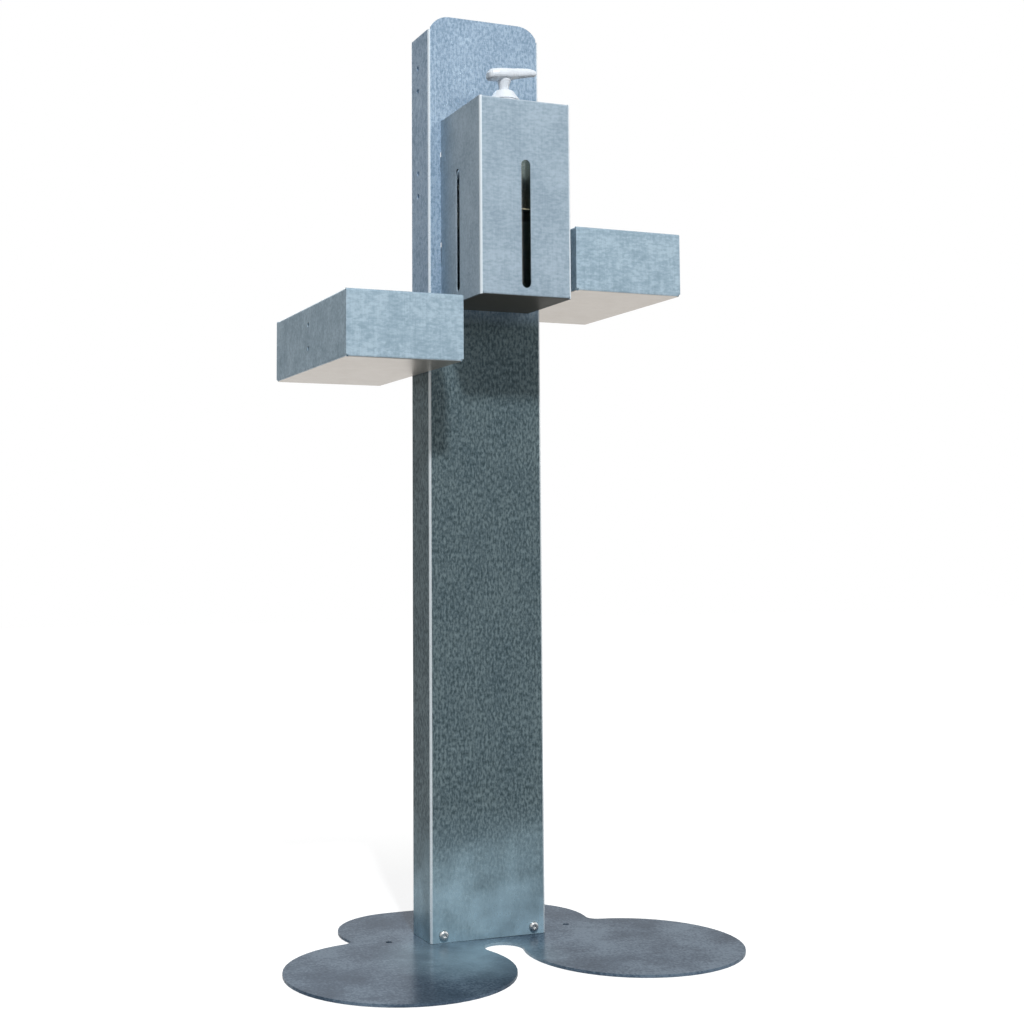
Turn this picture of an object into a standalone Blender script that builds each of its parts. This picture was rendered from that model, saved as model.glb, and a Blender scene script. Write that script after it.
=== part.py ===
"""Floor stand for a hand sanitizer bottle, with an open tray on each side.

Folded from galvanised sheet: a three-lobed foot plate, a channel column, a
dispenser box that hangs on the column by four hooks, and two trays screwed to
the column's sides. A bottle with a lotion pump stands in the dispenser box.

Metres, +Z up. The front of the stand looks along -Y, and the origin is on the
ground, under the middle of the column's front face.
"""

import math

import bmesh
import bpy
from mathutils import Matrix, Vector

# Air left between pieces that touch
GAP = 0.0003

# Foot plate
PLATE_THICKNESS = 0.003
FRONT_LOBE_RADIUS = 0.1154
FRONT_LOBE_GAP = 0.0284         # between the two front lobes at their nearest
FRONT_LOBE_FORWARD = 0.0785
BACK_LOBE_RADIUS = 0.082
BACK_LOBE_X = 0.060
BACK_LOBE_BEHIND = 0.068
NOTCH_RADIUS = 0.0203
WAIST_RADIUS = 0.012
ANCHOR_HOLE_DIAMETER = 0.007
ANCHOR_HOLE_OUT = 0.037         # from the column's side
ANCHOR_HOLE_BEHIND = 0.026      # from the column's front face

# Column, a channel with short return lips at the back
STAND_HEIGHT = 1.0
COLUMN_WIDTH = 0.133
COLUMN_DEPTH = 0.053
COLUMN_SHEET = 0.002
COLUMN_BEND_RADIUS = 0.003      # outside of the bend
COLUMN_LIP = 0.012
COLUMN_CORNER_RADIUS = 0.025
FLANGE_DROP = 0.016             # the side flanges stop this far below the top
UPPER_SPARE_DROP = 0.0645       # middle of the upper spare hole pair, below the top
LOWER_SPARE_DROP = 0.1835

# Foot bracket, welded to the plate inside the column
BRACKET_SHEET = 0.002
BRACKET_BEND_RADIUS = 0.003
BRACKET_HEIGHT = 0.022
BRACKET_SIDE_ROOM = 0.0055      # to the inside of the column's side flange
BRACKET_FLOOR_LENGTH = 0.035
BRACKET_FLOOR_WIDTH = 0.070
BRACKET_RELIEF = 0.0006

# Fasteners, button head screws with hexagon sockets and flat nuts
SCREW_HOLE_ROOM = 0.0003        # all round each shank
THREAD_PROUD = 0.0015           # thread that stands out of each nut
FOOT_SCREW_DIAMETER = 0.006
FOOT_SCREW_HEAD = 0.0105
FOOT_SCREW_HEAD_HEIGHT = 0.0033
FOOT_SCREW_SOCKET = 0.004
FOOT_SCREW_INSET = 0.0145       # from the column's side
FOOT_SCREW_HEIGHT = 0.0083      # above the foot plate
FOOT_NUT_WIDTH = 0.010
FOOT_NUT_HEIGHT = 0.005
TRAY_SCREW_DIAMETER = 0.005
TRAY_SCREW_HEAD = 0.0095
TRAY_SCREW_HEAD_HEIGHT = 0.0027
TRAY_SCREW_SOCKET = 0.003
TRAY_NUT_WIDTH = 0.008
TRAY_NUT_HEIGHT = 0.004
TRAY_WASHER_DIAMETER = 0.010
TRAY_WASHER_HEIGHT = 0.001
HEAD_RIM_SHARE = 0.18           # of a screw head's height, its upright rim
HEAD_FLAT_SHARE = 0.72          # of the key size, the flat on top
KEY_FLOOR_SHARE = 0.35          # of a screw head's height, the socket's floor
POINT_SHARE = 0.12              # of a shank's diameter, the bevel at its end
NUT_FLAT_SHARE = 0.48           # of the size across flats, radius of the flat face
NUT_SLOPE_SHARE = 0.10
NUT_REACH_SHARE = 0.62

# Boxes of thinner sheet
BOX_SHEET = 0.0015
BOX_BEND_RADIUS = 0.0025        # outside of the bend
SEAM_GAP = 0.0005               # open seam where two folded walls meet

# Trays
TRAY_WIDTH = 0.126
TRAY_HEIGHT = 0.069
TRAY_LIP = 0.008                # folded inwards round the rim
LEFT_TRAY_LENGTH = 0.2515
LEFT_TRAY_FORWARD = 0.0975      # front wall, ahead of the column's front face
LEFT_TRAY_BASE = 0.605
RIGHT_TRAY_LENGTH = 0.2245
RIGHT_TRAY_FORWARD = 0.0890
RIGHT_TRAY_BASE = 0.6877
TRAY_HOLE_BEHIND = 0.0315       # from the column's front face
TRAY_HOLE_UP = 0.0235           # lower hole, above the tray's base
TRAY_HOLE_PITCH = 0.0255

# Bottle, which sets the dispenser box's width and depth
BOTTLE_DIAMETER = 0.090
BOTTLE_SHOULDER_HEIGHT = 0.1685
BOTTLE_SHOULDER_RISE = 0.026
NECK_LENGTH = 0.0185
BOTTLE_WALL = 0.0012
BOTTLE_FOOT_ROUND = 0.006
BOTTLE_PUSH_UP = 0.004
BOTTLE_DISH = 0.6               # of the radius, the raised middle of the base
NECK_DIAMETER = 0.0315
NECK_WALL = 0.0025
NECK_BEAD_OUT = 0.0015
NECK_BEAD_UP = 0.0008           # above the shoulder
NECK_BEAD_HEIGHT = 0.0014

# Dispenser box
BOTTLE_SIDE_ROOM = 0.0053
BOTTLE_FRONT_ROOM = 0.0072
BOTTLE_BACK_ROOM = 0.0087
DISPENSER_HEIGHT = 0.207
DISPENSER_DROP = 0.1183         # rim below the column's top
DISPENSER_LIP = 0.008           # folded inwards along the front rim
VIEW_SLOT_WIDTH = 0.0105
VIEW_SLOT_BOTTOM = 0.0085       # above the box's base
VIEW_SLOT_TOP = 0.064           # below the rim
SIDE_SLOT_FORWARD = 0.047       # middle, ahead of the column's front face
SIDE_SLOT_BOTTOM = 0.0112
HOOK_SLOT_WIDTH = 0.0026
HOOK_SLOT_HEIGHT = 0.022
HOOK_NECK = 0.016
HOOK_DROP = 0.0045
HOOK_PLAY = 0.0005              # between the hook and the back of the column's sheet
HOOK_FINGER = 0.005
HOOK_LEAD = 0.0015              # bevel that guides the hook into its slot
HOOK_PITCH = 0.100
HOOK_TOP_DROP = 0.0557          # upper hook's seat, below the rim

# Lotion pump
GASKET_THICKNESS = 0.001
HOUSING_FLANGE = 0.0012
HOUSING_OUTER = 0.019
HOUSING_BORE = 0.017
HOUSING_TOP = 0.007             # above the underside of the flange
HOUSING_LENGTH = 0.050          # chamber below the flange
HOUSING_FLOOR = 0.003
INLET_BORE = 0.0036
BALL_SEAT_DEPTH = 0.002
TAIL_OUTER = 0.009
TAIL_LENGTH = 0.012
TUBE_OUTER = 0.006
TUBE_BORE = 0.0044
TUBE_FLOOR_ROOM = 0.003
CAP_OUTER = 0.036
CAP_HEIGHT = 0.0205
CAP_TOP = 0.0015
CAP_BEVEL = 0.0015
CAP_RIB_DEPTH = 0.0005
CAP_RIBS = 32
CAP_SMOOTH_BAND = 0.004         # above the ribs
COLLAR_BASE = 0.0345
COLLAR_TOP = 0.022
COLLAR_HEIGHT = 0.0106
COLLAR_WALL = 0.0018
COLLAR_RIM = 0.0007             # upright band at the foot
COLLAR_EDGE = 0.001             # bevel round the top face
COLLAR_SWEEP = 1.15             # how hollow the flare is, 1 is a straight cone
COLLAR_STEPS = 6
GUIDE_BORE = 0.0145
GUIDE_LENGTH = 0.018            # from the collar's top face down into the chamber
GUIDE_FLANGE = 0.001            # thickness, clamped between the chamber's rim and the collar
GUIDE_FLANGE_INSET = 0.0004
PUMP_TRAVEL = 0.009
STEM_OUTER = 0.007
STEM_BORE = 0.004
STEM_FOOT_OUT = 0.001
STEM_FOOT_HEIGHT = 0.0012
STEM_IN_HEAD = 0.008            # above the head's underside
PISTON_HEIGHT = 0.008
PISTON_ROOM = 0.0003
PISTON_LIP = 0.0012
BALL_DIAMETER = 0.006
SPRING_WIRE = 0.001
SPRING_DIAMETER = 0.0105        # middle of the wire
SPRING_TURNS = 7
SPRING_CLOSED_PITCH = 0.0012
HEAD_RISE = 0.0119              # underside of the head above the collar
HEAD_HEIGHT = 0.0165
HEAD_WIDTH = 0.0208
HEAD_TAIL = 0.0191
NOZZLE_REACH = 0.0377
NOZZLE_CHANNEL = 0.0024
NOZZLE_TIP_SHARE = 0.69         # of the head's height, where the channel comes out
SLEEVE_FOOT = 0.010
SLEEVE_TOP = 0.0148
SLEEVE_STRAIGHT = 0.002         # above the collar before the flare starts
SLEEVE_SWEEP = 1.4
SLEEVE_STEPS = 6

# Facets in a full turn
LARGE_ROUND = 64
MEDIUM_ROUND = 40
SMALL_ROUND = 24
BEND_STEPS = 5

# Places that follow from the sizes above
PLATE_TOP = PLATE_THICKNESS
FRONT_LOBE_X = FRONT_LOBE_RADIUS + FRONT_LOBE_GAP / 2
COLUMN_FOOT = PLATE_TOP + GAP
HALF_COLUMN = COLUMN_WIDTH / 2
FLANGE_TOP = STAND_HEIGHT - FLANGE_DROP
HALF_DISPENSER = BOTTLE_DIAMETER / 2 + BOTTLE_SIDE_ROOM + BOX_SHEET
DISPENSER_FRONT = -(BOTTLE_DIAMETER + BOTTLE_FRONT_ROOM + BOTTLE_BACK_ROOM + BOX_SHEET)
DISPENSER_RIM = STAND_HEIGHT - DISPENSER_DROP
DISPENSER_FLOOR = DISPENSER_RIM - DISPENSER_HEIGHT
PUMP_Y = -BOTTLE_BACK_ROOM - BOTTLE_DIAMETER / 2
BOTTLE_BASE = DISPENSER_FLOOR + BOX_SHEET + GAP
BOTTLE_HEIGHT = BOTTLE_SHOULDER_HEIGHT + BOTTLE_SHOULDER_RISE + NECK_LENGTH
NECK_TOP = BOTTLE_BASE + BOTTLE_HEIGHT
GASKET_BASE = NECK_TOP + GAP
FLANGE_BASE = GASKET_BASE + GASKET_THICKNESS + GAP
CAP_CEILING = FLANGE_BASE + HOUSING_FLANGE + GAP
CAP_TOP_FACE = CAP_CEILING + CAP_TOP
COLLAR_FOOT = CAP_TOP_FACE + GAP
COLLAR_TOP_FACE = COLLAR_FOOT + COLLAR_HEIGHT
HOUSING_RIM = FLANGE_BASE + HOUSING_TOP
COLLAR_CEILING = HOUSING_RIM + GUIDE_FLANGE + 2 * GAP
GUIDE_FOOT = COLLAR_TOP_FACE - GUIDE_LENGTH
HEAD_UNDERSIDE = COLLAR_TOP_FACE + HEAD_RISE
SLEEVE_BASE = CAP_TOP_FACE + GAP + PUMP_TRAVEL    # stays clear of the cap when pressed
STEM_TOP = HEAD_UNDERSIDE + STEM_IN_HEAD
CHAMBER_BASE = FLANGE_BASE - HOUSING_LENGTH
CHAMBER_FLOOR = CHAMBER_BASE + HOUSING_FLOOR
PISTON_BASE = GUIDE_FOOT - GAP - PISTON_HEIGHT
STEM_FOOT = PISTON_BASE - GAP - STEM_FOOT_HEIGHT


# Scene and materials

def clear_scene():
    for old in list(bpy.data.objects):
        bpy.data.objects.remove(old, do_unlink=True)


def make_material(name, colour, metallic, roughness):
    material = bpy.data.materials.new(name)
    material.use_nodes = True
    shader = material.node_tree.nodes["Principled BSDF"]
    shader.inputs["Base Color"].default_value = (*colour, 1.0)
    shader.inputs["Metallic"].default_value = metallic
    shader.inputs["Roughness"].default_value = roughness
    return material


clear_scene()
GALVANISED = make_material("galvanised_sheet", (0.42, 0.47, 0.50), 1.0, 0.35)
ZINC_PLATED = make_material("zinc_plated_screw", (0.62, 0.63, 0.64), 1.0, 0.30)
STAINLESS = make_material("stainless_steel", (0.60, 0.60, 0.61), 1.0, 0.25)
WHITE_MOULDED = make_material("white_polypropylene", (0.86, 0.87, 0.88), 0.0, 0.35)
CLEAR_BOTTLE = make_material("clear_bottle", (0.70, 0.74, 0.74), 0.0, 0.12)
SEAL_RUBBER = make_material("seal_rubber", (0.10, 0.10, 0.11), 0.0, 0.60)


# Object and mesh helpers

def add_object(name, bm, material, parent=None):
    bmesh.ops.recalc_face_normals(bm, faces=bm.faces)
    mesh = bpy.data.meshes.new(name)
    bm.to_mesh(mesh)
    bm.free()
    mesh.shade_smooth()
    mesh.set_sharp_from_angle(angle=math.radians(35))
    thing = bpy.data.objects.new(name, mesh)
    bpy.context.collection.objects.link(thing)
    thing.data.materials.append(material)
    if parent is not None:
        thing.parent = parent
        thing.matrix_parent_inverse = parent.matrix_world.inverted()
    return thing


def add_cutter(name, bm):
    bmesh.ops.recalc_face_normals(bm, faces=bm.faces)
    mesh = bpy.data.meshes.new(name)
    bm.to_mesh(mesh)
    bm.free()
    cutter = bpy.data.objects.new(name, mesh)
    bpy.context.collection.objects.link(cutter)
    cutter.hide_render = True
    cutter.display_type = "WIRE"
    return cutter


def use_cutter(target, cutter, operation="DIFFERENCE"):
    modifier = target.modifiers.new(cutter.name, "BOOLEAN")
    modifier.operation = operation
    modifier.solver = "EXACT"
    modifier.object = cutter


def extrude_outline(bm, outline, direction):
    """Close a flat outline of 3D points and pull it into a prism."""
    ring = [bm.verts.new(point) for point in outline]
    base = bm.faces.new(ring)
    lifted = bmesh.ops.extrude_face_region(bm, geom=[base])["geom"]
    moved = [item for item in lifted if isinstance(item, bmesh.types.BMVert)]
    bmesh.ops.translate(bm, verts=moved, vec=direction)


def rod(bm, diameter, start, end, facets):
    start = Vector(start)
    end = Vector(end)
    axis = end - start
    turn = axis.to_track_quat("Z", "Y").to_matrix().to_4x4()
    bmesh.ops.create_cone(bm, cap_ends=True, segments=facets, radius1=diameter / 2,
                          radius2=diameter / 2, depth=axis.length,
                          matrix=Matrix.Translation((start + end) / 2) @ turn)


def hexagon(bm, across_flats, start, end):
    rod(bm, across_flats / math.cos(math.radians(30)), start, end, 6)


def arc_points(centre, radius, start, end, steps):
    """Points on an arc, angles in degrees, both ends included."""
    points = []
    for index in range(steps + 1):
        angle = math.radians(start + (end - start) * index / steps)
        points.append((centre[0] + radius * math.cos(angle), centre[1] + radius * math.sin(angle)))
    return points


def turned(profile, facets, closed=True):
    """Turn a profile of (radius, height) points about the Z axis.

    A closed profile makes a ring, an open one starts and ends on the axis.
    """
    bm = bmesh.new()
    ring = [bm.verts.new((radius, 0.0, height)) for radius, height in profile]
    edges = [bm.edges.new((near, far)) for near, far in zip(ring, ring[1:])]
    if closed:
        edges.append(bm.edges.new((ring[-1], ring[0])))
    bmesh.ops.spin(bm, geom=ring + edges, cent=(0, 0, 0), axis=(0, 0, 1), angle=2 * math.pi,
                   steps=facets, use_merge=True)
    bmesh.ops.remove_doubles(bm, verts=bm.verts, dist=0.00001)
    return bm


def tube_profile(bore, outer, height):
    return [(bore / 2, 0.0), (outer / 2, 0.0), (outer / 2, height), (bore / 2, height)]


def on_pump_axis(bm, height):
    bmesh.ops.translate(bm, verts=bm.verts, vec=(0, PUMP_Y, height))
    return bm


# Folded sheet: flat panels joined by bend strips, given their thickness by Solidify

def panel(bm, points, outward):
    face = bm.faces.new([bm.verts.new(point) for point in points])
    face.normal_update()
    if face.normal.dot(Vector(outward)) < 0:
        face.normal_flip()


def bend_strip(bm, corner, first, second, radius, axis, stations):
    """Quarter bend round a line along axis, in one length between each pair of stations.

    corner is where the two outer faces would meet, first and second are unit
    vectors from it along each face.
    """
    centre = Vector(corner) + radius * (Vector(first) + Vector(second))
    length = Vector(axis)
    rows = []
    for index in range(BEND_STEPS + 1):
        angle = math.radians(90.0 * index / BEND_STEPS)
        rows.append(centre - radius * (math.cos(angle) * Vector(second) + math.sin(angle) * Vector(first)))
    for near, far in zip(rows, rows[1:]):
        outward = (near + far) / 2 - centre
        for low, high in zip(stations, stations[1:]):
            panel(bm, (near + length * low, far + length * low, far + length * high, near + length * high),
                  outward)


def add_sheet(name, bm, thickness, material):
    """Thicken panels to the inside. The weld leaves one skin without open seams."""
    bmesh.ops.remove_doubles(bm, verts=bm.verts, dist=0.00001)
    mesh = bpy.data.meshes.new(name)
    bm.to_mesh(mesh)
    bm.free()
    mesh.shade_smooth()
    mesh.set_sharp_from_angle(angle=math.radians(35))
    sheet = bpy.data.objects.new(name, mesh)
    bpy.context.collection.objects.link(sheet)
    sheet.data.materials.append(material)
    solid = sheet.modifiers.new("thickness", "SOLIDIFY")
    solid.thickness = thickness
    solid.offset = -1.0
    solid.use_even_offset = True
    return sheet


# Foot plate: tangent arcs round two front lobes and one wide back lobe

def angle_to(origin, target):
    return math.degrees(math.atan2(target[1] - origin[1], target[0] - origin[0]))


def tangent_centre(first, first_reach, second, second_reach):
    """Centre that lies first_reach and second_reach from two points, on their right."""
    start = Vector(first)
    step = Vector(second) - start
    span = step.length
    forward = step / span
    along = (first_reach ** 2 - second_reach ** 2 + span ** 2) / (2 * span)
    aside = math.sqrt(first_reach ** 2 - along ** 2)
    return start + forward * along + Vector((forward.y, -forward.x)) * aside


def foot_plate_outline():
    lobe = (FRONT_LOBE_X, -FRONT_LOBE_FORWARD)
    back = (BACK_LOBE_X, BACK_LOBE_BEHIND)
    notch_rise = math.sqrt((FRONT_LOBE_RADIUS + NOTCH_RADIUS) ** 2 - FRONT_LOBE_X ** 2)
    notch = (0.0, -FRONT_LOBE_FORWARD + notch_rise)
    waist = tangent_centre(lobe, FRONT_LOBE_RADIUS + WAIST_RADIUS, back, BACK_LOBE_RADIUS + WAIST_RADIUS)
    notch_end = angle_to(notch, lobe)
    lobe_end = angle_to(lobe, waist)
    waist_end = angle_to(waist, back)
    half = arc_points(notch, NOTCH_RADIUS, 90.0, notch_end, 10)
    half += arc_points(lobe, FRONT_LOBE_RADIUS, notch_end - 180.0, lobe_end, 44)[1:]
    half += arc_points(waist, WAIST_RADIUS, lobe_end + 180.0, waist_end, 7)[1:]
    half += arc_points(back, BACK_LOBE_RADIUS, waist_end - 180.0, 90.0, 16)[1:]
    mirrored = [(-x, y) for x, y in reversed(half[1:])]
    return half + mirrored


def make_base_plate():
    bm = bmesh.new()
    extrude_outline(bm, [(x, y, 0.0) for x, y in foot_plate_outline()], (0, 0, PLATE_THICKNESS))
    plate = add_object("base_plate", bm, GALVANISED)
    holes = bmesh.new()
    for side in (-1, 1):
        x = side * (HALF_COLUMN + ANCHOR_HOLE_OUT)
        rod(holes, ANCHOR_HOLE_DIAMETER, (x, ANCHOR_HOLE_BEHIND, -PLATE_THICKNESS),
            (x, ANCHOR_HOLE_BEHIND, 2 * PLATE_THICKNESS), SMALL_ROUND)
    use_cutter(plate, add_cutter("anchor_hole_cutter", holes))


# Column

def column_front_outline():
    """Flat part of the front face, with the two rounded top corners."""
    edge = HALF_COLUMN - COLUMN_BEND_RADIUS
    centre = (HALF_COLUMN - COLUMN_CORNER_RADIUS, STAND_HEIGHT - COLUMN_CORNER_RADIUS)
    first = math.degrees(math.acos((edge - centre[0]) / COLUMN_CORNER_RADIUS))
    right = [(edge, COLUMN_FOOT), (edge, FLANGE_TOP)]
    right += arc_points(centre, COLUMN_CORNER_RADIUS, first, 90.0, 8)
    left = [(-x, z) for x, z in reversed(right)]
    return right + left


def make_column():
    bm = bmesh.new()
    radius = COLUMN_BEND_RADIUS
    ends = (COLUMN_FOOT, FLANGE_TOP)
    panel(bm, [(x, 0.0, z) for x, z in column_front_outline()], (0, -1, 0))
    for side in (-1, 1):
        x = side * HALF_COLUMN
        inward = (-side, 0, 0)
        bend_strip(bm, (x, 0, 0), inward, (0, 1, 0), radius, (0, 0, 1), ends)
        panel(bm, [(x, radius, COLUMN_FOOT), (x, COLUMN_DEPTH - radius, COLUMN_FOOT),
                   (x, COLUMN_DEPTH - radius, FLANGE_TOP), (x, radius, FLANGE_TOP)], (side, 0, 0))
        bend_strip(bm, (x, COLUMN_DEPTH, 0), inward, (0, -1, 0), radius, (0, 0, 1), ends)
        lip_start = x - side * radius
        lip_end = x - side * COLUMN_LIP
        panel(bm, [(lip_start, COLUMN_DEPTH, COLUMN_FOOT), (lip_end, COLUMN_DEPTH, COLUMN_FOOT),
                   (lip_end, COLUMN_DEPTH, FLANGE_TOP), (lip_start, COLUMN_DEPTH, FLANGE_TOP)], (0, 1, 0))
    column = add_sheet("column", bm, COLUMN_SHEET, GALVANISED)
    use_cutter(column, add_cutter("column_foot_hole_cutter", foot_holes()))
    use_cutter(column, add_cutter("hook_slot_cutter", hook_slots()))
    use_cutter(column, add_cutter("column_side_hole_cutter", column_side_holes()))


def foot_screw_height():
    return PLATE_TOP + FOOT_SCREW_HEIGHT


def foot_holes():
    holes = bmesh.new()
    reach = COLUMN_SHEET + GAP + BRACKET_SHEET
    for side in (-1, 1):
        x = side * (HALF_COLUMN - FOOT_SCREW_INSET)
        rod(holes, FOOT_SCREW_DIAMETER + 2 * SCREW_HOLE_ROOM, (x, -COLUMN_SHEET, foot_screw_height()),
            (x, reach + BRACKET_SHEET, foot_screw_height()), SMALL_ROUND)
    return holes


def tray_screw_heights(base):
    lower = base + TRAY_HOLE_UP
    return (lower, lower + TRAY_HOLE_PITCH)


def column_side_holes():
    """Holes for the tray screws, and the spare pairs above them."""
    holes = bmesh.new()
    spare = []
    for drop in (UPPER_SPARE_DROP, LOWER_SPARE_DROP):
        middle = STAND_HEIGHT - drop
        spare += [middle - TRAY_HOLE_PITCH / 2, middle + TRAY_HOLE_PITCH / 2]
    for side, base in ((-1, LEFT_TRAY_BASE), (1, RIGHT_TRAY_BASE)):
        for z in (*tray_screw_heights(base), *spare):
            rod(holes, TRAY_SCREW_DIAMETER + 2 * SCREW_HOLE_ROOM,
                (side * (HALF_COLUMN + COLUMN_SHEET), TRAY_HOLE_BEHIND, z),
                (side * (HALF_COLUMN - 2 * COLUMN_SHEET), TRAY_HOLE_BEHIND, z), SMALL_ROUND)
    return holes


def hook_seats():
    upper = DISPENSER_RIM - HOOK_TOP_DROP
    return (upper - HOOK_PITCH, upper)


def hook_slots():
    """Upright slots with round tops, one for each hook of the dispenser box."""
    slots = bmesh.new()
    radius = HOOK_SLOT_WIDTH / 2
    for side in (-1, 1):
        x = side * (HALF_DISPENSER - BOX_SHEET / 2)
        for seat in hook_seats():
            low = seat - GAP
            high = low + HOOK_SLOT_HEIGHT
            outline = [(x - radius, low), (x + radius, low)]
            outline += arc_points((x, high - radius), radius, 0.0, 180.0, 8)
            extrude_outline(slots, [(px, -COLUMN_SHEET, pz) for px, pz in outline], (0, 3 * COLUMN_SHEET, 0))
    return slots


# Foot bracket

def make_foot_bracket():
    bm = bmesh.new()
    front = COLUMN_SHEET + GAP
    floor = PLATE_TOP + GAP
    top = floor + BRACKET_HEIGHT
    back = front + BRACKET_FLOOR_LENGTH
    half = HALF_COLUMN - COLUMN_SHEET - BRACKET_SIDE_ROOM
    tab = BRACKET_FLOOR_WIDTH / 2
    radius = BRACKET_BEND_RADIUS
    bend_top = floor + radius
    ear = floor + BRACKET_RELIEF
    slit = tab + BRACKET_RELIEF
    panel(bm, [(-half, front, ear), (-slit, front, ear), (-slit, front, bend_top + BRACKET_RELIEF),
               (-tab, front, bend_top + BRACKET_RELIEF), (-tab, front, bend_top), (tab, front, bend_top),
               (tab, front, bend_top + BRACKET_RELIEF), (slit, front, bend_top + BRACKET_RELIEF),
               (slit, front, ear), (half, front, ear), (half, front, top), (-half, front, top)], (0, -1, 0))
    bend_strip(bm, (0, front, floor), (0, 0, 1), (0, 1, 0), radius, (1, 0, 0), (-tab, tab))
    panel(bm, [(-tab, front + radius, floor), (tab, front + radius, floor), (tab, back, floor),
               (-tab, back, floor)], (0, 0, -1))
    bracket = add_sheet("foot_bracket", bm, BRACKET_SHEET, GALVANISED)
    use_cutter(bracket, add_cutter("bracket_hole_cutter", foot_holes()))


# Fasteners, each made on +Z and turned to its direction

def move_to(bm, direction, seat):
    turn = Vector(direction).to_track_quat("Z", "Y").to_matrix().to_4x4()
    bmesh.ops.transform(bm, matrix=Matrix.Translation(seat) @ turn, verts=bm.verts)
    return bm


def add_screw(name, diameter, head, head_height, socket, length, direction, seat):
    """Button head screw. The head stands on its seat, the shank runs behind it."""
    rim = head_height * HEAD_RIM_SHARE
    point = diameter * POINT_SHARE
    profile = [(0.0, -length), (diameter / 2 - point, -length), (diameter / 2, point - length),
               (diameter / 2, 0.0), (head / 2, 0.0), (head / 2, rim)]
    flat = socket * HEAD_FLAT_SHARE
    for angle in (25, 50, 70, 90):
        turn = math.radians(angle)
        profile.append((flat + (head / 2 - flat) * math.cos(turn),
                        rim + (head_height - rim) * math.sin(turn)))
    profile.append((0.0, head_height))
    body = move_to(turned(profile, SMALL_ROUND, closed=False), direction, seat)
    screw = add_object(name, body, ZINC_PLATED)
    key = bmesh.new()
    hexagon(key, socket, (0, 0, head_height * KEY_FLOOR_SHARE), (0, 0, 2 * head_height))
    use_cutter(screw, add_cutter(name + "_key_cutter", move_to(key, direction, seat)))


def add_washer(name, diameter, bore, height, direction, seat):
    profile = tube_profile(bore, diameter, height)
    add_object(name, move_to(turned(profile, SMALL_ROUND), direction, seat), ZINC_PLATED)


def add_nut(name, across_flats, bore, height, direction, seat):
    """Hexagon nut with bevelled corners on both faces."""
    body = bmesh.new()
    hexagon(body, across_flats, (0, 0, 0), (0, 0, height))
    nut = add_object(name, move_to(body, direction, seat), ZINC_PLATED)
    flat = across_flats * NUT_FLAT_SHARE
    slope = across_flats * NUT_SLOPE_SHARE
    reach = across_flats * NUT_REACH_SHARE
    keep = turned([(bore / 2, 0.0), (flat, 0.0), (reach, slope), (reach, height - slope), (flat, height),
                   (bore / 2, height)], SMALL_ROUND)
    use_cutter(nut, add_cutter(name + "_form_cutter", move_to(keep, direction, seat)), "INTERSECT")


def make_foot_fasteners():
    stack = COLUMN_SHEET + GAP + BRACKET_SHEET + GAP
    length = GAP + stack + FOOT_NUT_HEIGHT + THREAD_PROUD
    bore = FOOT_SCREW_DIAMETER + 2 * SCREW_HOLE_ROOM
    for name, side in (("left", -1), ("right", 1)):
        x = side * (HALF_COLUMN - FOOT_SCREW_INSET)
        z = foot_screw_height()
        add_screw("foot_screw_" + name, FOOT_SCREW_DIAMETER, FOOT_SCREW_HEAD, FOOT_SCREW_HEAD_HEIGHT,
                  FOOT_SCREW_SOCKET, length, (0, -1, 0), (x, -GAP, z))
        add_nut("foot_nut_" + name, FOOT_NUT_WIDTH, bore, FOOT_NUT_HEIGHT, (0, 1, 0), (x, stack, z))


def make_tray_fasteners(name, side, base):
    """Screw heads inside the tray, washers and nuts inside the column."""
    head_seat = side * (HALF_COLUMN + GAP + BOX_SHEET + GAP)
    washer_seat = side * (HALF_COLUMN - COLUMN_SHEET - GAP)
    nut_seat = washer_seat - side * (TRAY_WASHER_HEIGHT + GAP)
    length = abs(head_seat - nut_seat) + TRAY_NUT_HEIGHT + THREAD_PROUD
    bore = TRAY_SCREW_DIAMETER + 2 * SCREW_HOLE_ROOM
    for level, z in zip(("lower", "upper"), tray_screw_heights(base)):
        add_screw(name + "_tray_screw_" + level, TRAY_SCREW_DIAMETER, TRAY_SCREW_HEAD, TRAY_SCREW_HEAD_HEIGHT,
                  TRAY_SCREW_SOCKET, length, (side, 0, 0), (head_seat, TRAY_HOLE_BEHIND, z))
        add_washer(name + "_tray_washer_" + level, TRAY_WASHER_DIAMETER, bore, TRAY_WASHER_HEIGHT,
                   (-side, 0, 0), (washer_seat, TRAY_HOLE_BEHIND, z))
        add_nut(name + "_tray_nut_" + level, TRAY_NUT_WIDTH, bore, TRAY_NUT_HEIGHT,
                (-side, 0, 0), (nut_seat, TRAY_HOLE_BEHIND, z))


# Trays: one blank, folded up on four sides of the floor, with a mitred rim

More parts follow.
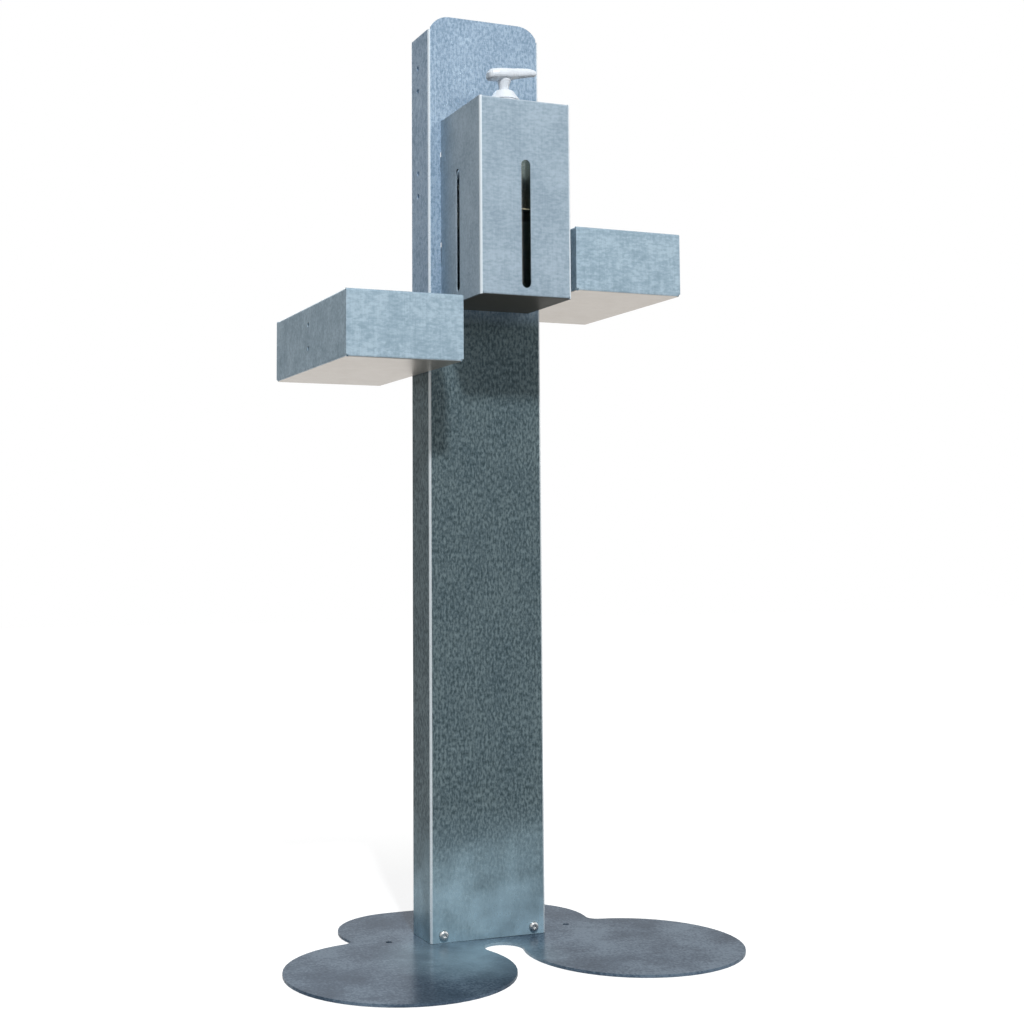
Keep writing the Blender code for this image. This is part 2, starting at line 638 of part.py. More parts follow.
def make_tray(name, side, length, forward, base):
    bm = bmesh.new()
    near = side * (HALF_COLUMN + GAP)
    far = near + side * TRAY_WIDTH
    x0 = min(near, far)
    x1 = max(near, far)
    y0 = -forward
    y1 = y0 + length
    radius = BOX_BEND_RADIUS
    low = base + radius
    rim = base + TRAY_HEIGHT
    high = rim - radius
    butt = BOX_SHEET + SEAM_GAP
    mitre = radius + SEAM_GAP
    corner = TRAY_LIP + SEAM_GAP
    panel(bm, [(x0 + radius, y0 + radius, base), (x1 - radius, y0 + radius, base),
               (x1 - radius, y1 - radius, base), (x0 + radius, y1 - radius, base)], (0, 0, -1))
    for y, inward in ((y0, 1), (y1, -1)):
        bend_strip(bm, (0, y, base), (0, 0, 1), (0, inward, 0), radius, (1, 0, 0), (x0 + radius, x1 - radius))
        panel(bm, [(x0, y, low), (x0 + radius, y, low), (x1 - radius, y, low), (x1, y, low), (x1, y, high),
                   (x1 - mitre, y, high), (x0 + mitre, y, high), (x0, y, high)], (0, -inward, 0))
        bend_strip(bm, (0, y, rim), (0, 0, -1), (0, inward, 0), radius, (1, 0, 0),
                   (x0, x0 + mitre, x1 - mitre, x1))
        lip = y + inward * TRAY_LIP
        panel(bm, [(x0 + mitre, y + inward * radius, rim), (x1 - mitre, y + inward * radius, rim),
                   (x1 - corner, lip, rim), (x0 + corner, lip, rim)], (0, 0, 1))
    for x, inward in ((x0, 1), (x1, -1)):
        bend_strip(bm, (x, 0, base), (0, 0, 1), (inward, 0, 0), radius, (0, 1, 0), (y0 + radius, y1 - radius))
        panel(bm, [(x, y0 + butt, low), (x, y0 + radius, low), (x, y1 - radius, low), (x, y1 - butt, low),
                   (x, y1 - butt, high), (x, y1 - mitre, high), (x, y0 + mitre, high), (x, y0 + butt, high)],
              (-inward, 0, 0))
        bend_strip(bm, (x, 0, rim), (0, 0, -1), (inward, 0, 0), radius, (0, 1, 0), (y0 + mitre, y1 - mitre))
        lip = x + inward * TRAY_LIP
        panel(bm, [(x + inward * radius, y0 + mitre, rim), (x + inward * radius, y1 - mitre, rim),
                   (lip, y1 - corner, rim), (lip, y0 + corner, rim)], (0, 0, 1))
    tray = add_sheet(name, bm, BOX_SHEET, GALVANISED)
    holes = bmesh.new()
    for z in tray_screw_heights(base):
        for x in (x0, x1):
            rod(holes, TRAY_SCREW_DIAMETER + 2 * SCREW_HOLE_ROOM, (x - 2 * BOX_SHEET, TRAY_HOLE_BEHIND, z),
                (x + 2 * BOX_SHEET, TRAY_HOLE_BEHIND, z), SMALL_ROUND)
    use_cutter(tray, add_cutter(name + "_hole_cutter", holes))


# Dispenser box: front, sides, floor and rim lip folded from one blank

def side_wall_outline(low, high, front, back):
    """Side wall with its two hooks, as (y, z) points from the lower front corner."""
    outline = [(front, low), (back, low)]
    throat = COLUMN_SHEET + HOOK_PLAY
    tip = throat + HOOK_FINGER
    for seat in hook_seats():
        foot = seat - HOOK_DROP
        crown = seat + HOOK_NECK
        outline += [(back, seat), (throat, seat), (throat, foot + HOOK_LEAD), (throat + HOOK_LEAD, foot),
                    (tip - HOOK_LEAD, foot), (tip, foot + HOOK_LEAD), (tip, crown - HOOK_LEAD),
                    (tip - HOOK_LEAD, crown), (back, crown)]
    outline += [(back, high), (front, high), (front, high - BOX_BEND_RADIUS), (front, low + BOX_BEND_RADIUS)]
    return outline


def rounded_slot(bm, middle, low, high, direction, across):
    """Slot cutter with round ends, pushed through a wall."""
    radius = VIEW_SLOT_WIDTH / 2
    outline = arc_points((0.0, high - radius), radius, 0.0, 180.0, 10)
    outline += arc_points((0.0, low + radius), radius, 180.0, 360.0, 10)
    start = Vector(middle) - Vector(direction) / 2
    extrude_outline(bm, [start + Vector(across) * step + Vector((0, 0, z)) for step, z in outline],
                    Vector(direction))


def make_dispenser_box():
    bm = bmesh.new()
    front = DISPENSER_FRONT
    back = -GAP
    low = DISPENSER_FLOOR
    high = DISPENSER_RIM
    radius = BOX_BEND_RADIUS
    bend_low = low + radius
    bend_high = high - radius
    edge = HALF_DISPENSER - radius
    slit = edge - SEAM_GAP
    panel(bm, [(-edge, front, bend_low), (-slit, front, bend_low), (slit, front, bend_low),
               (edge, front, bend_low), (edge, front, bend_high), (slit, front, bend_high),
               (-slit, front, bend_high), (-edge, front, bend_high)], (0, -1, 0))
    for side in (-1, 1):
        x = side * HALF_DISPENSER
        bend_strip(bm, (x, front, 0), (-side, 0, 0), (0, 1, 0), radius, (0, 0, 1),
                   (low, bend_low, bend_high, high))
        panel(bm, [(x, y, z) for y, z in side_wall_outline(low, high, front + radius, back)], (side, 0, 0))
    floor_half = HALF_DISPENSER - BOX_SHEET - SEAM_GAP
    step = front + 2 * radius
    bend_strip(bm, (0, front, low), (0, 0, 1), (0, 1, 0), radius, (1, 0, 0), (-slit, slit))
    panel(bm, [(-slit, front + radius, low), (slit, front + radius, low), (slit, step, low),
               (floor_half, step, low), (floor_half, back - SEAM_GAP, low),
               (-floor_half, back - SEAM_GAP, low), (-floor_half, step, low), (-slit, step, low)], (0, 0, -1))
    bend_strip(bm, (0, front, high), (0, 0, -1), (0, 1, 0), radius, (1, 0, 0), (-slit, slit))
    lip_end = front + DISPENSER_LIP
    panel(bm, [(-slit, front + radius, high), (slit, front + radius, high), (slit, lip_end, high),
               (-slit, lip_end, high)], (0, 0, 1))
    box = add_sheet("dispenser_box", bm, BOX_SHEET, GALVANISED)
    slots = bmesh.new()
    slot_high = high - VIEW_SLOT_TOP
    rounded_slot(slots, (0, front, 0), low + VIEW_SLOT_BOTTOM, slot_high, (0, 4 * BOX_SHEET, 0), (1, 0, 0))
    for side in (-1, 1):
        rounded_slot(slots, (side * HALF_DISPENSER, -SIDE_SLOT_FORWARD, 0), low + SIDE_SLOT_BOTTOM, slot_high,
                     (4 * BOX_SHEET, 0, 0), (0, 1, 0))
    use_cutter(box, add_cutter("view_slot_cutter", slots))


# Bottle

def shoulder_points(radius, neck, start):
    """Rounded shoulder from the body's side to the foot of the neck."""
    points = []
    for angle in (0, 18, 36, 54, 72, 90):
        turn = math.radians(angle)
        points.append((neck + (radius - neck) * math.cos(turn),
                       start + BOTTLE_SHOULDER_RISE * math.sin(turn)))
    return points


def make_bottle():
    radius = BOTTLE_DIAMETER / 2
    neck = NECK_DIAMETER / 2
    bore = neck - NECK_WALL
    wall = BOTTLE_WALL
    dish = radius * BOTTLE_DISH
    round_in = radius - BOTTLE_FOOT_ROUND
    outer = [(dish, BOTTLE_PUSH_UP), (round_in, 0.0)]
    outer += arc_points((round_in, BOTTLE_FOOT_ROUND), BOTTLE_FOOT_ROUND, -60.0, 0.0, 2)
    shoulder = shoulder_points(radius, neck, BOTTLE_SHOULDER_HEIGHT)
    bead = shoulder[-1][1] + NECK_BEAD_UP
    outer += shoulder
    outer += [(neck, bead), (neck + NECK_BEAD_OUT, bead), (neck + NECK_BEAD_OUT, bead + NECK_BEAD_HEIGHT),
              (neck, bead + NECK_BEAD_HEIGHT), (neck, BOTTLE_HEIGHT)]
    inner = [(bore, BOTTLE_HEIGHT)]
    inner += reversed(shoulder_points(radius - wall, bore, BOTTLE_SHOULDER_HEIGHT - wall))
    inner += [(radius - wall, BOTTLE_FOOT_ROUND), (round_in, wall), (dish, BOTTLE_PUSH_UP + wall)]
    profile = [(0.0, BOTTLE_PUSH_UP)] + outer + inner + [(0.0, BOTTLE_PUSH_UP + wall)]
    add_object("bottle", on_pump_axis(turned(profile, LARGE_ROUND, closed=False), BOTTLE_BASE), CLEAR_BOTTLE)


# Pump, built upright on its own axis

def make_gasket():
    profile = tube_profile(HOUSING_OUTER + 2 * GAP, NECK_DIAMETER, GASKET_THICKNESS)
    add_object("neck_gasket", on_pump_axis(turned(profile, MEDIUM_ROUND), GASKET_BASE), SEAL_RUBBER)


def make_housing():
    """Pump chamber: flange on the neck, cylinder, ball seat and tail for the dip tube."""
    flange = NECK_DIAMETER / 2
    outer = HOUSING_OUTER / 2
    bore = HOUSING_BORE / 2
    tail = TAIL_OUTER / 2
    tube = TUBE_OUTER / 2 + GAP
    inlet = INLET_BORE / 2
    seat = BALL_DIAMETER / 2 + GAP
    base = -HOUSING_LENGTH
    floor = base + HOUSING_FLOOR
    profile = [(outer, HOUSING_TOP), (bore, HOUSING_TOP), (bore, floor), (seat, floor),
               (inlet, floor - BALL_SEAT_DEPTH), (inlet, base), (tube, base), (tube, base - TAIL_LENGTH),
               (tail, base - TAIL_LENGTH), (tail, base), (outer, base), (outer, 0.0), (flange, 0.0),
               (flange, HOUSING_FLANGE), (outer, HOUSING_FLANGE)]
    add_object("pump_housing", on_pump_axis(turned(profile, MEDIUM_ROUND), FLANGE_BASE), WHITE_MOULDED)


def make_cap():
    """Screw cap with fine grip ribs, a bevelled top edge and a hole for the chamber."""
    outer = CAP_OUTER / 2
    inner = NECK_DIAMETER / 2 + GAP
    hole = HOUSING_OUTER / 2 + GAP
    foot = CAP_TOP_FACE - CAP_HEIGHT
    steps = CAP_RIBS * 2
    ribs_end = CAP_TOP_FACE - CAP_BEVEL - CAP_SMOOTH_BAND
    heights = (foot, ribs_end, ribs_end + CAP_RIB_DEPTH, CAP_TOP_FACE - CAP_BEVEL, CAP_TOP_FACE, CAP_TOP_FACE,
               CAP_CEILING, CAP_CEILING, foot)
    bm = bmesh.new()
    columns = []
    for index in range(steps):
        angle = 2 * math.pi * index / steps
        rib = outer - CAP_RIB_DEPTH * (index % 2)
        radii = (rib, rib, outer, outer, outer - CAP_BEVEL, hole, hole, inner, inner)
        columns.append([bm.verts.new((r * math.cos(angle), PUMP_Y + r * math.sin(angle), z))
                        for r, z in zip(radii, heights)])
    for index, column in enumerate(columns):
        following = columns[(index + 1) % steps]
        for row in range(len(column)):
            after = (row + 1) % len(column)
            bm.faces.new((column[row], following[row], following[after], column[after]))
    add_object("closure_cap", bm, WHITE_MOULDED)


def collar_flare(height):
    """Radius of the collar's outside at a height above its foot."""
    base = COLLAR_BASE / 2
    top = COLLAR_TOP / 2
    share = (height - COLLAR_RIM) / (COLLAR_HEIGHT - COLLAR_EDGE - COLLAR_RIM)
    return top + (base - top) * (1 - share) ** COLLAR_SWEEP


def make_collar():
    """Flared collar that clamps the guide tube on the chamber."""
    hole = HOUSING_BORE / 2
    wall = COLLAR_WALL
    ceiling = COLLAR_CEILING - COLLAR_FOOT
    flare = COLLAR_HEIGHT - COLLAR_EDGE - COLLAR_RIM
    outside = [(COLLAR_BASE / 2, 0.0)]
    for index in range(COLLAR_STEPS + 1):
        height = COLLAR_RIM + flare * index / COLLAR_STEPS
        outside.append((collar_flare(height), height))
    outside.append((COLLAR_TOP / 2 - COLLAR_EDGE, COLLAR_HEIGHT))
    inside = [(hole, COLLAR_HEIGHT), (hole, ceiling), (collar_flare(ceiling) - wall, ceiling),
              (collar_flare(ceiling / 2) - wall, ceiling / 2), (COLLAR_BASE / 2 - wall, COLLAR_RIM),
              (COLLAR_BASE / 2 - wall, 0.0)]
    ring = turned(outside + inside, MEDIUM_ROUND)
    add_object("pump_collar", on_pump_axis(ring, COLLAR_FOOT), WHITE_MOULDED)


def make_guide_tube():
    """Guide for the stem and its sleeve, which also holds the piston down in the chamber."""
    bore = GUIDE_BORE / 2
    outer = HOUSING_BORE / 2 - GAP
    flange = HOUSING_OUTER / 2 - GUIDE_FLANGE_INSET
    seat = HOUSING_RIM + GAP - GUIDE_FOOT
    profile = [(bore, 0.0), (outer, 0.0), (outer, seat), (flange, seat), (flange, seat + GUIDE_FLANGE),
               (outer, seat + GUIDE_FLANGE), (outer, GUIDE_LENGTH), (bore, GUIDE_LENGTH)]
    add_object("guide_tube", on_pump_axis(turned(profile, MEDIUM_ROUND), GUIDE_FOOT), WHITE_MOULDED)


def make_dip_tube():
    top = CHAMBER_BASE - GAP
    base = BOTTLE_BASE + BOTTLE_PUSH_UP + BOTTLE_WALL + TUBE_FLOOR_ROOM
    profile = tube_profile(TUBE_BORE, TUBE_OUTER, top - base)
    add_object("dip_tube", on_pump_axis(turned(profile, SMALL_ROUND), base), WHITE_MOULDED)


def make_ball():
    """Inlet ball, held just clear of its conical seat."""
    seat = BALL_DIAMETER / 2 + GAP
    slope = math.atan2(BALL_SEAT_DEPTH, seat - INLET_BORE / 2)
    rise = (BALL_DIAMETER / 2 + GAP) / math.cos(slope) - seat * math.tan(slope)
    bm = bmesh.new()
    bmesh.ops.create_uvsphere(bm, u_segments=SMALL_ROUND, v_segments=SMALL_ROUND // 2,
                              radius=BALL_DIAMETER / 2)
    add_object("inlet_ball", on_pump_axis(bm, CHAMBER_FLOOR + rise), STAINLESS)


def make_piston(parent):
    """Piston with a wiping lip at each end."""
    outer = HOUSING_BORE / 2 - PISTON_ROOM
    bore = STEM_OUTER / 2 + GAP
    waist = outer - PISTON_LIP
    top = PISTON_HEIGHT
    profile = [(bore, 0.0), (outer, 0.0), (outer, PISTON_LIP), (waist, 2 * PISTON_LIP),
               (waist, top - 2 * PISTON_LIP), (outer, top - PISTON_LIP), (outer, top), (bore, top)]
    add_object("piston", on_pump_axis(turned(profile, MEDIUM_ROUND), PISTON_BASE), SEAL_RUBBER, parent)


def make_spring():
    """Return spring between the chamber's floor and the piston, with closed ends."""
    low = CHAMBER_FLOOR + GAP + SPRING_WIRE / 2
    span = PISTON_BASE - GAP - SPRING_WIRE / 2 - low
    radius = SPRING_DIAMETER / 2
    open_pitch = (span - 2 * SPRING_CLOSED_PITCH) / (SPRING_TURNS - 2)
    curve = bpy.data.curves.new("return_spring", "CURVE")
    curve.dimensions = "3D"
    curve.bevel_depth = SPRING_WIRE / 2
    curve.bevel_resolution = 1
    curve.use_fill_caps = True
    line = curve.splines.new("POLY")
    steps = SPRING_TURNS * SMALL_ROUND
    line.points.add(steps)
    for index in range(steps + 1):
        turns = index / SMALL_ROUND
        closed = min(turns, 1.0) + max(turns - (SPRING_TURNS - 1), 0.0)
        height = low + closed * SPRING_CLOSED_PITCH + (turns - closed) * open_pitch
        angle = 2 * math.pi * turns
        line.points[index].co = (radius * math.cos(angle), PUMP_Y + radius * math.sin(angle), height, 1.0)
    spring = bpy.data.objects.new("return_spring", curve)
    spring.data.materials.append(STAINLESS)
    bpy.context.collection.objects.link(spring)


def make_stem(parent):
    outer = STEM_OUTER / 2
    bore = STEM_BORE / 2
    foot = outer + STEM_FOOT_OUT
    length = STEM_TOP - STEM_FOOT
    profile = [(bore, 0.0), (foot, 0.0), (foot, STEM_FOOT_HEIGHT), (outer, STEM_FOOT_HEIGHT),
               (outer, length), (bore, length)]
    add_object("pump_stem", on_pump_axis(turned(profile, SMALL_ROUND), STEM_FOOT), WHITE_MOULDED, parent)


# Pump head: a loft along the nozzle, with the stem's flared sleeve below

def head_stations():
    """(x, bottom, top, width) along the head, the last three as shares of its height and width."""
    tail = -HEAD_TAIL
    reach = NOZZLE_REACH
    return ((tail, 0.09, 0.45, 0.40),
            (tail * 0.96, 0.00, 0.57, 0.62),
            (tail * 0.84, -0.05, 0.69, 0.82),
            (tail * 0.50, -0.045, 0.77, 0.97),
            (0.0, 0.00, 0.825, 1.00),
            (reach * 0.16, 0.035, 0.865, 0.87),
            (reach * 0.28, 0.145, 0.895, 0.68),
            (reach * 0.42, 0.255, 0.945, 0.53),
            (reach * 0.74, 0.42, 1.00, 0.45),
            (reach * 0.91, 0.50, 0.96, 0.39),
            (reach * 0.98, 0.54, 0.88, 0.31),
            (reach, 0.58, 0.80, 0.26))


def head_ring(bm, x, bottom, top, width, room):
    """Softly squared section across the head, grown outwards by the room."""
    middle = HEAD_UNDERSIDE + HEAD_HEIGHT * (top + bottom) / 2
    half_height = HEAD_HEIGHT * (top - bottom) / 2 + room
    half_width = HEAD_WIDTH * width / 2 + room
    ring = []
    for index in range(SMALL_ROUND):
        angle = 2 * math.pi * index / SMALL_ROUND
        cosine = math.cos(angle)
        sine = math.sin(angle)
        across = half_width * math.copysign(abs(cosine) ** 0.85, cosine)
        upward = half_height * math.copysign(abs(sine) ** 0.85, sine)
        ring.append(bm.verts.new((x, PUMP_Y + across, middle + upward)))
    return ring


def head_loft(room=0.0):
    """The head's solid shape before its holes, grown outwards by the room."""
    bm = bmesh.new()
    rings = [head_ring(bm, *station, room) for station in head_stations()]
    for near, far in zip(rings, rings[1:]):
        for index in range(SMALL_ROUND):
            after = (index + 1) % SMALL_ROUND
            bm.faces.new((near[index], near[after], far[after], far[index]))
    bm.faces.new(rings[0])
    bm.faces.new(rings[-1])
    return bm


def make_head(parent):
    head = add_object("pump_head", head_loft(), WHITE_MOULDED, parent)
    use_cutter(head, add_cutter("head_channel", head_channel()))
    use_cutter(head, add_cutter("head_bore", stem_bore()))


def make_sleeve(parent):
    """Sleeve round the stem that flares out under the head and follows its underside."""
    joint = HEAD_UNDERSIDE + HEAD_HEIGHT / 2
    foot = SLEEVE_FOOT / 2
    top = SLEEVE_TOP / 2
    start = COLLAR_TOP_FACE + SLEEVE_STRAIGHT
    profile = [(0.0, SLEEVE_BASE), (foot, SLEEVE_BASE)]
    for index in range(SLEEVE_STEPS + 1):
        share = index / SLEEVE_STEPS
        profile.append((foot + (top - foot) * share ** SLEEVE_SWEEP,
                        start + (HEAD_UNDERSIDE - start) * share))
    profile += [(top, joint), (0.0, joint)]
    turning = on_pump_axis(turned(profile, MEDIUM_ROUND, closed=False), 0.0)
    sleeve = add_object("stem_sleeve", turning, WHITE_MOULDED, parent)
    use_cutter(sleeve, add_cutter("sleeve_head", head_loft(GAP)))
    use_cutter(sleeve, add_cutter("sleeve_bore", stem_bore()))


def stem_bore():
    """Bore for the stem, with room above it in the head where the channel starts."""
    bm = bmesh.new()
    rod(bm, STEM_OUTER + 2 * GAP, (0, PUMP_Y, SLEEVE_BASE - STEM_OUTER),
        (0, PUMP_Y, STEM_TOP + NOZZLE_CHANNEL + 2 * GAP), SMALL_ROUND)
    return bm


def head_channel():
    """Outlet channel from the stem to the nozzle's tip."""
    bm = bmesh.new()
    start = Vector((STEM_BORE / 2, PUMP_Y, STEM_TOP + GAP + NOZZLE_CHANNEL / 2))
    tip = Vector((NOZZLE_REACH, PUMP_Y, HEAD_UNDERSIDE + NOZZLE_TIP_SHARE * HEAD_HEIGHT))
    beyond = (tip - start).normalized() * NOZZLE_CHANNEL
    rod(bm, NOZZLE_CHANNEL, start, tip + beyond, SMALL_ROUND // 2)
    return bm


def make_pump_axis():
    axis = bpy.data.objects.new("pump_axis", None)
    axis.location = (0, PUMP_Y, HEAD_UNDERSIDE)
    bpy.context.collection.objects.link(axis)
    bpy.context.view_layer.update()
    return axis


def build():
    make_base_plate()
    make_foot_bracket()
    make_column()
    make_foot_fasteners()
    make_tray("left_tray", -1, LEFT_TRAY_LENGTH, LEFT_TRAY_FORWARD, LEFT_TRAY_BASE)
    make_tray("right_tray", 1, RIGHT_TRAY_LENGTH, RIGHT_TRAY_FORWARD, RIGHT_TRAY_BASE)
    make_tray_fasteners("left", -1, LEFT_TRAY_BASE)
    make_tray_fasteners("right", 1, RIGHT_TRAY_BASE)
    make_dispenser_box()
    make_bottle()
    make_gasket()
    make_housing()
    make_cap()
    make_collar()
    make_guide_tube()
    make_dip_tube()
    make_ball()
    make_spring()
    axis = make_pump_axis()
    make_piston(axis)
    make_stem(axis)
    make_sleeve(axis)
    make_head(axis)


build()
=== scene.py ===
import math

import bpy
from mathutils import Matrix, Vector


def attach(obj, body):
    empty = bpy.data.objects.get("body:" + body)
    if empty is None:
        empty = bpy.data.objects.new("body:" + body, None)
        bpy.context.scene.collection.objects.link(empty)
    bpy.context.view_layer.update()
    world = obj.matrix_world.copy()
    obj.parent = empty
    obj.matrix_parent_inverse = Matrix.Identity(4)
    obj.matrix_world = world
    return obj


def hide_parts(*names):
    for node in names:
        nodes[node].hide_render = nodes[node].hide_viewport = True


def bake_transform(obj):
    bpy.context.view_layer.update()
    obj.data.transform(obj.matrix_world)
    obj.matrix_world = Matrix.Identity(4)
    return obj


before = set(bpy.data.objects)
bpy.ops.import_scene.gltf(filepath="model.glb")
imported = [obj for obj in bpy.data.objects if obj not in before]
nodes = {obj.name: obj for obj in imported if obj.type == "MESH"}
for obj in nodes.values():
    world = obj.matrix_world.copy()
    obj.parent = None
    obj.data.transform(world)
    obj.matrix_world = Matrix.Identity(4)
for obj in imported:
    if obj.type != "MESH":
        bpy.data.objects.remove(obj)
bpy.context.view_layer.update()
bpy.ops.object.select_all(action="DESELECT")
print("frame loaded:", len(nodes), "nodes")


# colours are written as sRGB hex and turned linear here
def colour(hexText):
    values = []
    for start in (1, 3, 5):
        share = int(hexText[start:start + 2], 16) / 255
        values.append(share / 12.92 if share <= 0.04045 else ((share + 0.055) / 1.055) ** 2.4)
    return (*values, 1.0)


# one node with its settings, its socket values, its links and, for a colour ramp, its stops
def addNode(tree, kind, sockets=None, links=None, stops=(), **settings):
    node = tree.nodes.new(kind)
    for key, value in settings.items():
        setattr(node, key, value)
    for key, value in (sockets or {}).items():
        node.inputs[key].default_value = value
    for key, source in (links or {}).items():
        tree.links.new(source, node.inputs[key])
    for index, (spot, tone) in enumerate(stops):
        marks = node.color_ramp.elements
        mark = marks[index] if index < 2 else marks.new(spot)
        mark.position = spot
        mark.color = colour(tone)
    return node


# a new material, its node tree, its shader and the object's own coordinates
def newMaterial(name):
    material = bpy.data.materials.new(name)
    material.use_nodes = True
    tree = material.node_tree
    coords = addNode(tree, "ShaderNodeTexCoord").outputs
    return material, tree, tree.nodes["Principled BSDF"], coords


def perMm(size):
    return 1000 / size    # texture scale for a pattern of this many millimetres


# a noise texture's values rarely leave these ranges, so they are spread out to run from 0 to 1
grainSpread = (0.36, 0.64)
cloudSpread = (0.35, 0.65)
# how far a face must turn back or down before it counts as such, and where it does so fully
facesBack = (0.3, 0.6)
facesDown = (-0.6, -0.9)


# Hot-dip galvanised and skin-passed sheet: a grey-blue zinc skin with a fine dashed grain from the
# rolls, faint crystals and milky clouds, part mirror and part matt
def galvanisedSheet(name, look):
    material, tree, shader, coords = newMaterial(name)
    place = coords["Object"]
    axes = addNode(tree, "ShaderNodeSeparateXYZ", links={"Vector": place}).outputs
    facing = addNode(tree, "ShaderNodeSeparateXYZ", links={"Vector": coords["Normal"]}).outputs
    layers = []
    for part in ("grain", "threads", "streaks"):
        lay = addNode(tree, "ShaderNodeMapping",
                      {"Scale": tuple(perMm(size) for size in look[part]["size"])},
                      {"Vector": place})
        noise = addNode(tree, "ShaderNodeTexNoise",
                        {"Scale": 1.0, "Detail": 2.0, "Roughness": 0.6},
                        {"Vector": lay.outputs["Vector"]})
        layers.append(addNode(tree, "ShaderNodeMapRange",
                              {"From Min": grainSpread[0], "From Max": grainSpread[1],
                               "To Max": look[part]["share"]},
                              {"Value": noise.outputs["Fac"]}).outputs["Result"])
    grain = layers[0]
    crystals = addNode(tree, "ShaderNodeTexVoronoi", {"Scale": perMm(look["crystals"]["size"])},
                       {"Vector": place})
    crystalTone = addNode(tree, "ShaderNodeSeparateColor",
                          links={"Color": crystals.outputs["Color"]})
    layers.append(addNode(tree, "ShaderNodeMath", {1: look["crystals"]["share"]},
                          {0: crystalTone.outputs["Red"]}, operation="MULTIPLY").outputs[0])
    clouds = addNode(tree, "ShaderNodeTexNoise",
                     {"Scale": perMm(look["clouds"]["size"]), "Detail": 4.0},
                     {"Vector": place}).outputs["Fac"]
    layers.append(addNode(tree, "ShaderNodeMapRange",
                          {"From Min": cloudSpread[0], "From Max": cloudSpread[1],
                           "To Max": look["clouds"]["share"]},
                          {"Value": clouds}).outputs["Result"])
    # a faint lighter line a little inboard of each bend
    sideways = addNode(tree, "ShaderNodeMath", links={0: axes["X"]},
                       operation="ABSOLUTE").outputs[0]
    for middle, width, strength in look["linesBesideBends"]:
        off = addNode(tree, "ShaderNodeMath", {1: middle}, {0: sideways}, operation="SUBTRACT")
        away = addNode(tree, "ShaderNodeMath", links={0: off.outputs[0]}, operation="ABSOLUTE")
        layers.append(addNode(tree, "ShaderNodeMapRange",
                              {"From Max": width, "To Min": strength, "To Max": 0.0},
                              {"Value": away.outputs[0]}).outputs["Result"])
    tone = layers[0]
    for layer in layers[1:]:
        tone = addNode(tree, "ShaderNodeMath", links={0: tone, 1: layer},
                       operation="ADD").outputs[0]
    surface = addNode(tree, "ShaderNodeValToRGB", links={"Fac": tone},
                      stops=((0.2, look["dark"]), (0.8, look["light"]),
                             (0.5, look["middle"]))).outputs["Color"]
    # painted shade: below the dispenser the sheet is darker, most in the low grain, standing in
    # for the shade and the dark ground it mirrors there; faces that look back, such as the bottom
    # of the channel, are left out
    paintedShadeBelow = look["paintedShadeBelow"]
    below = addNode(tree, "ShaderNodeMapRange",
                    {"From Min": paintedShadeBelow["height"][0], "From Max": paintedShadeBelow["height"][1],
                     "To Min": 1.0, "To Max": 0.0},
                    {"Value": axes["Z"]}, interpolation_type="SMOOTHSTEP")
    shadeTone = addNode(tree, "ShaderNodeValToRGB", links={"Fac": grain},
                      stops=((0.0, paintedShadeBelow["low"]), (look["grain"]["share"], paintedShadeBelow["high"])))
    facesNotBack = addNode(tree, "ShaderNodeMapRange",
                      {"From Min": facesBack[0], "From Max": facesBack[1],
                       "To Min": 1.0, "To Max": 0.0},
                      {"Value": facing["Y"]})
    shadeCover = addNode(tree, "ShaderNodeMath",
                   links={0: below.outputs["Result"], 1: facesNotBack.outputs["Result"]},
                   operation="MULTIPLY")
    surface = addNode(tree, "ShaderNodeMix",
                      links={"Factor": shadeCover.outputs[0], "A": surface,
                             "B": shadeTone.outputs["Color"]},
                      data_type="RGBA", blend_type="MULTIPLY").outputs["Result"]
    coats = []    # how much each coat covers, and its colour
    # painted light at the foot: a pale tone that fades upwards in clouds, standing in for light
    # thrown up from the foot plate
    bloomAndPaintedLight = look["bloomAndPaintedLight"]
    patches = addNode(tree, "ShaderNodeMapRange",
                      {"From Min": cloudSpread[0], "From Max": cloudSpread[1],
                       "To Min": bloomAndPaintedLight["least"]},
                      {"Value": clouds})
    foot = addNode(tree, "ShaderNodeMapRange",
                   {"From Max": bloomAndPaintedLight["height"], "To Min": bloomAndPaintedLight["share"], "To Max": 0.0},
                   {"Value": axes["Z"]}, interpolation_type="SMOOTHSTEP")
    # a pale patch in clouds round one spot on the foot plate
    palePatch = look["palePatch"]
    reach = addNode(tree, "ShaderNodeVectorMath", {1: palePatch["middle"]}, {0: place},
                    operation="DISTANCE")
    patchFade = addNode(tree, "ShaderNodeMapRange",
                    {"From Min": palePatch["reach"][0], "From Max": palePatch["reach"][1],
                     "To Min": palePatch["share"], "To Max": 0.0},
                    {"Value": reach.outputs["Value"]}, interpolation_type="SMOOTHSTEP")
    for stain in (foot, patchFade):
        cover = addNode(tree, "ShaderNodeMath",
                        links={0: stain.outputs["Result"], 1: patches.outputs["Result"]},
                        operation="MULTIPLY")
        coats.append((cover.outputs[0], bloomAndPaintedLight["tone"]))
    # faces that look down: painted reflection, light and warm on the trays as of the sunlit floor
    # below them, and painted shade on the dispenser, dark as the shaded column it mirrors
    paintedUnderside = addNode(tree, "ShaderNodeMapRange",
                        {"From Min": facesDown[0], "From Max": facesDown[1],
                         "To Max": look["paintedUnderside"]["share"]},
                        {"Value": facing["Z"]}).outputs["Result"]
    coats.append((paintedUnderside, look["paintedUnderside"]["tone"]))
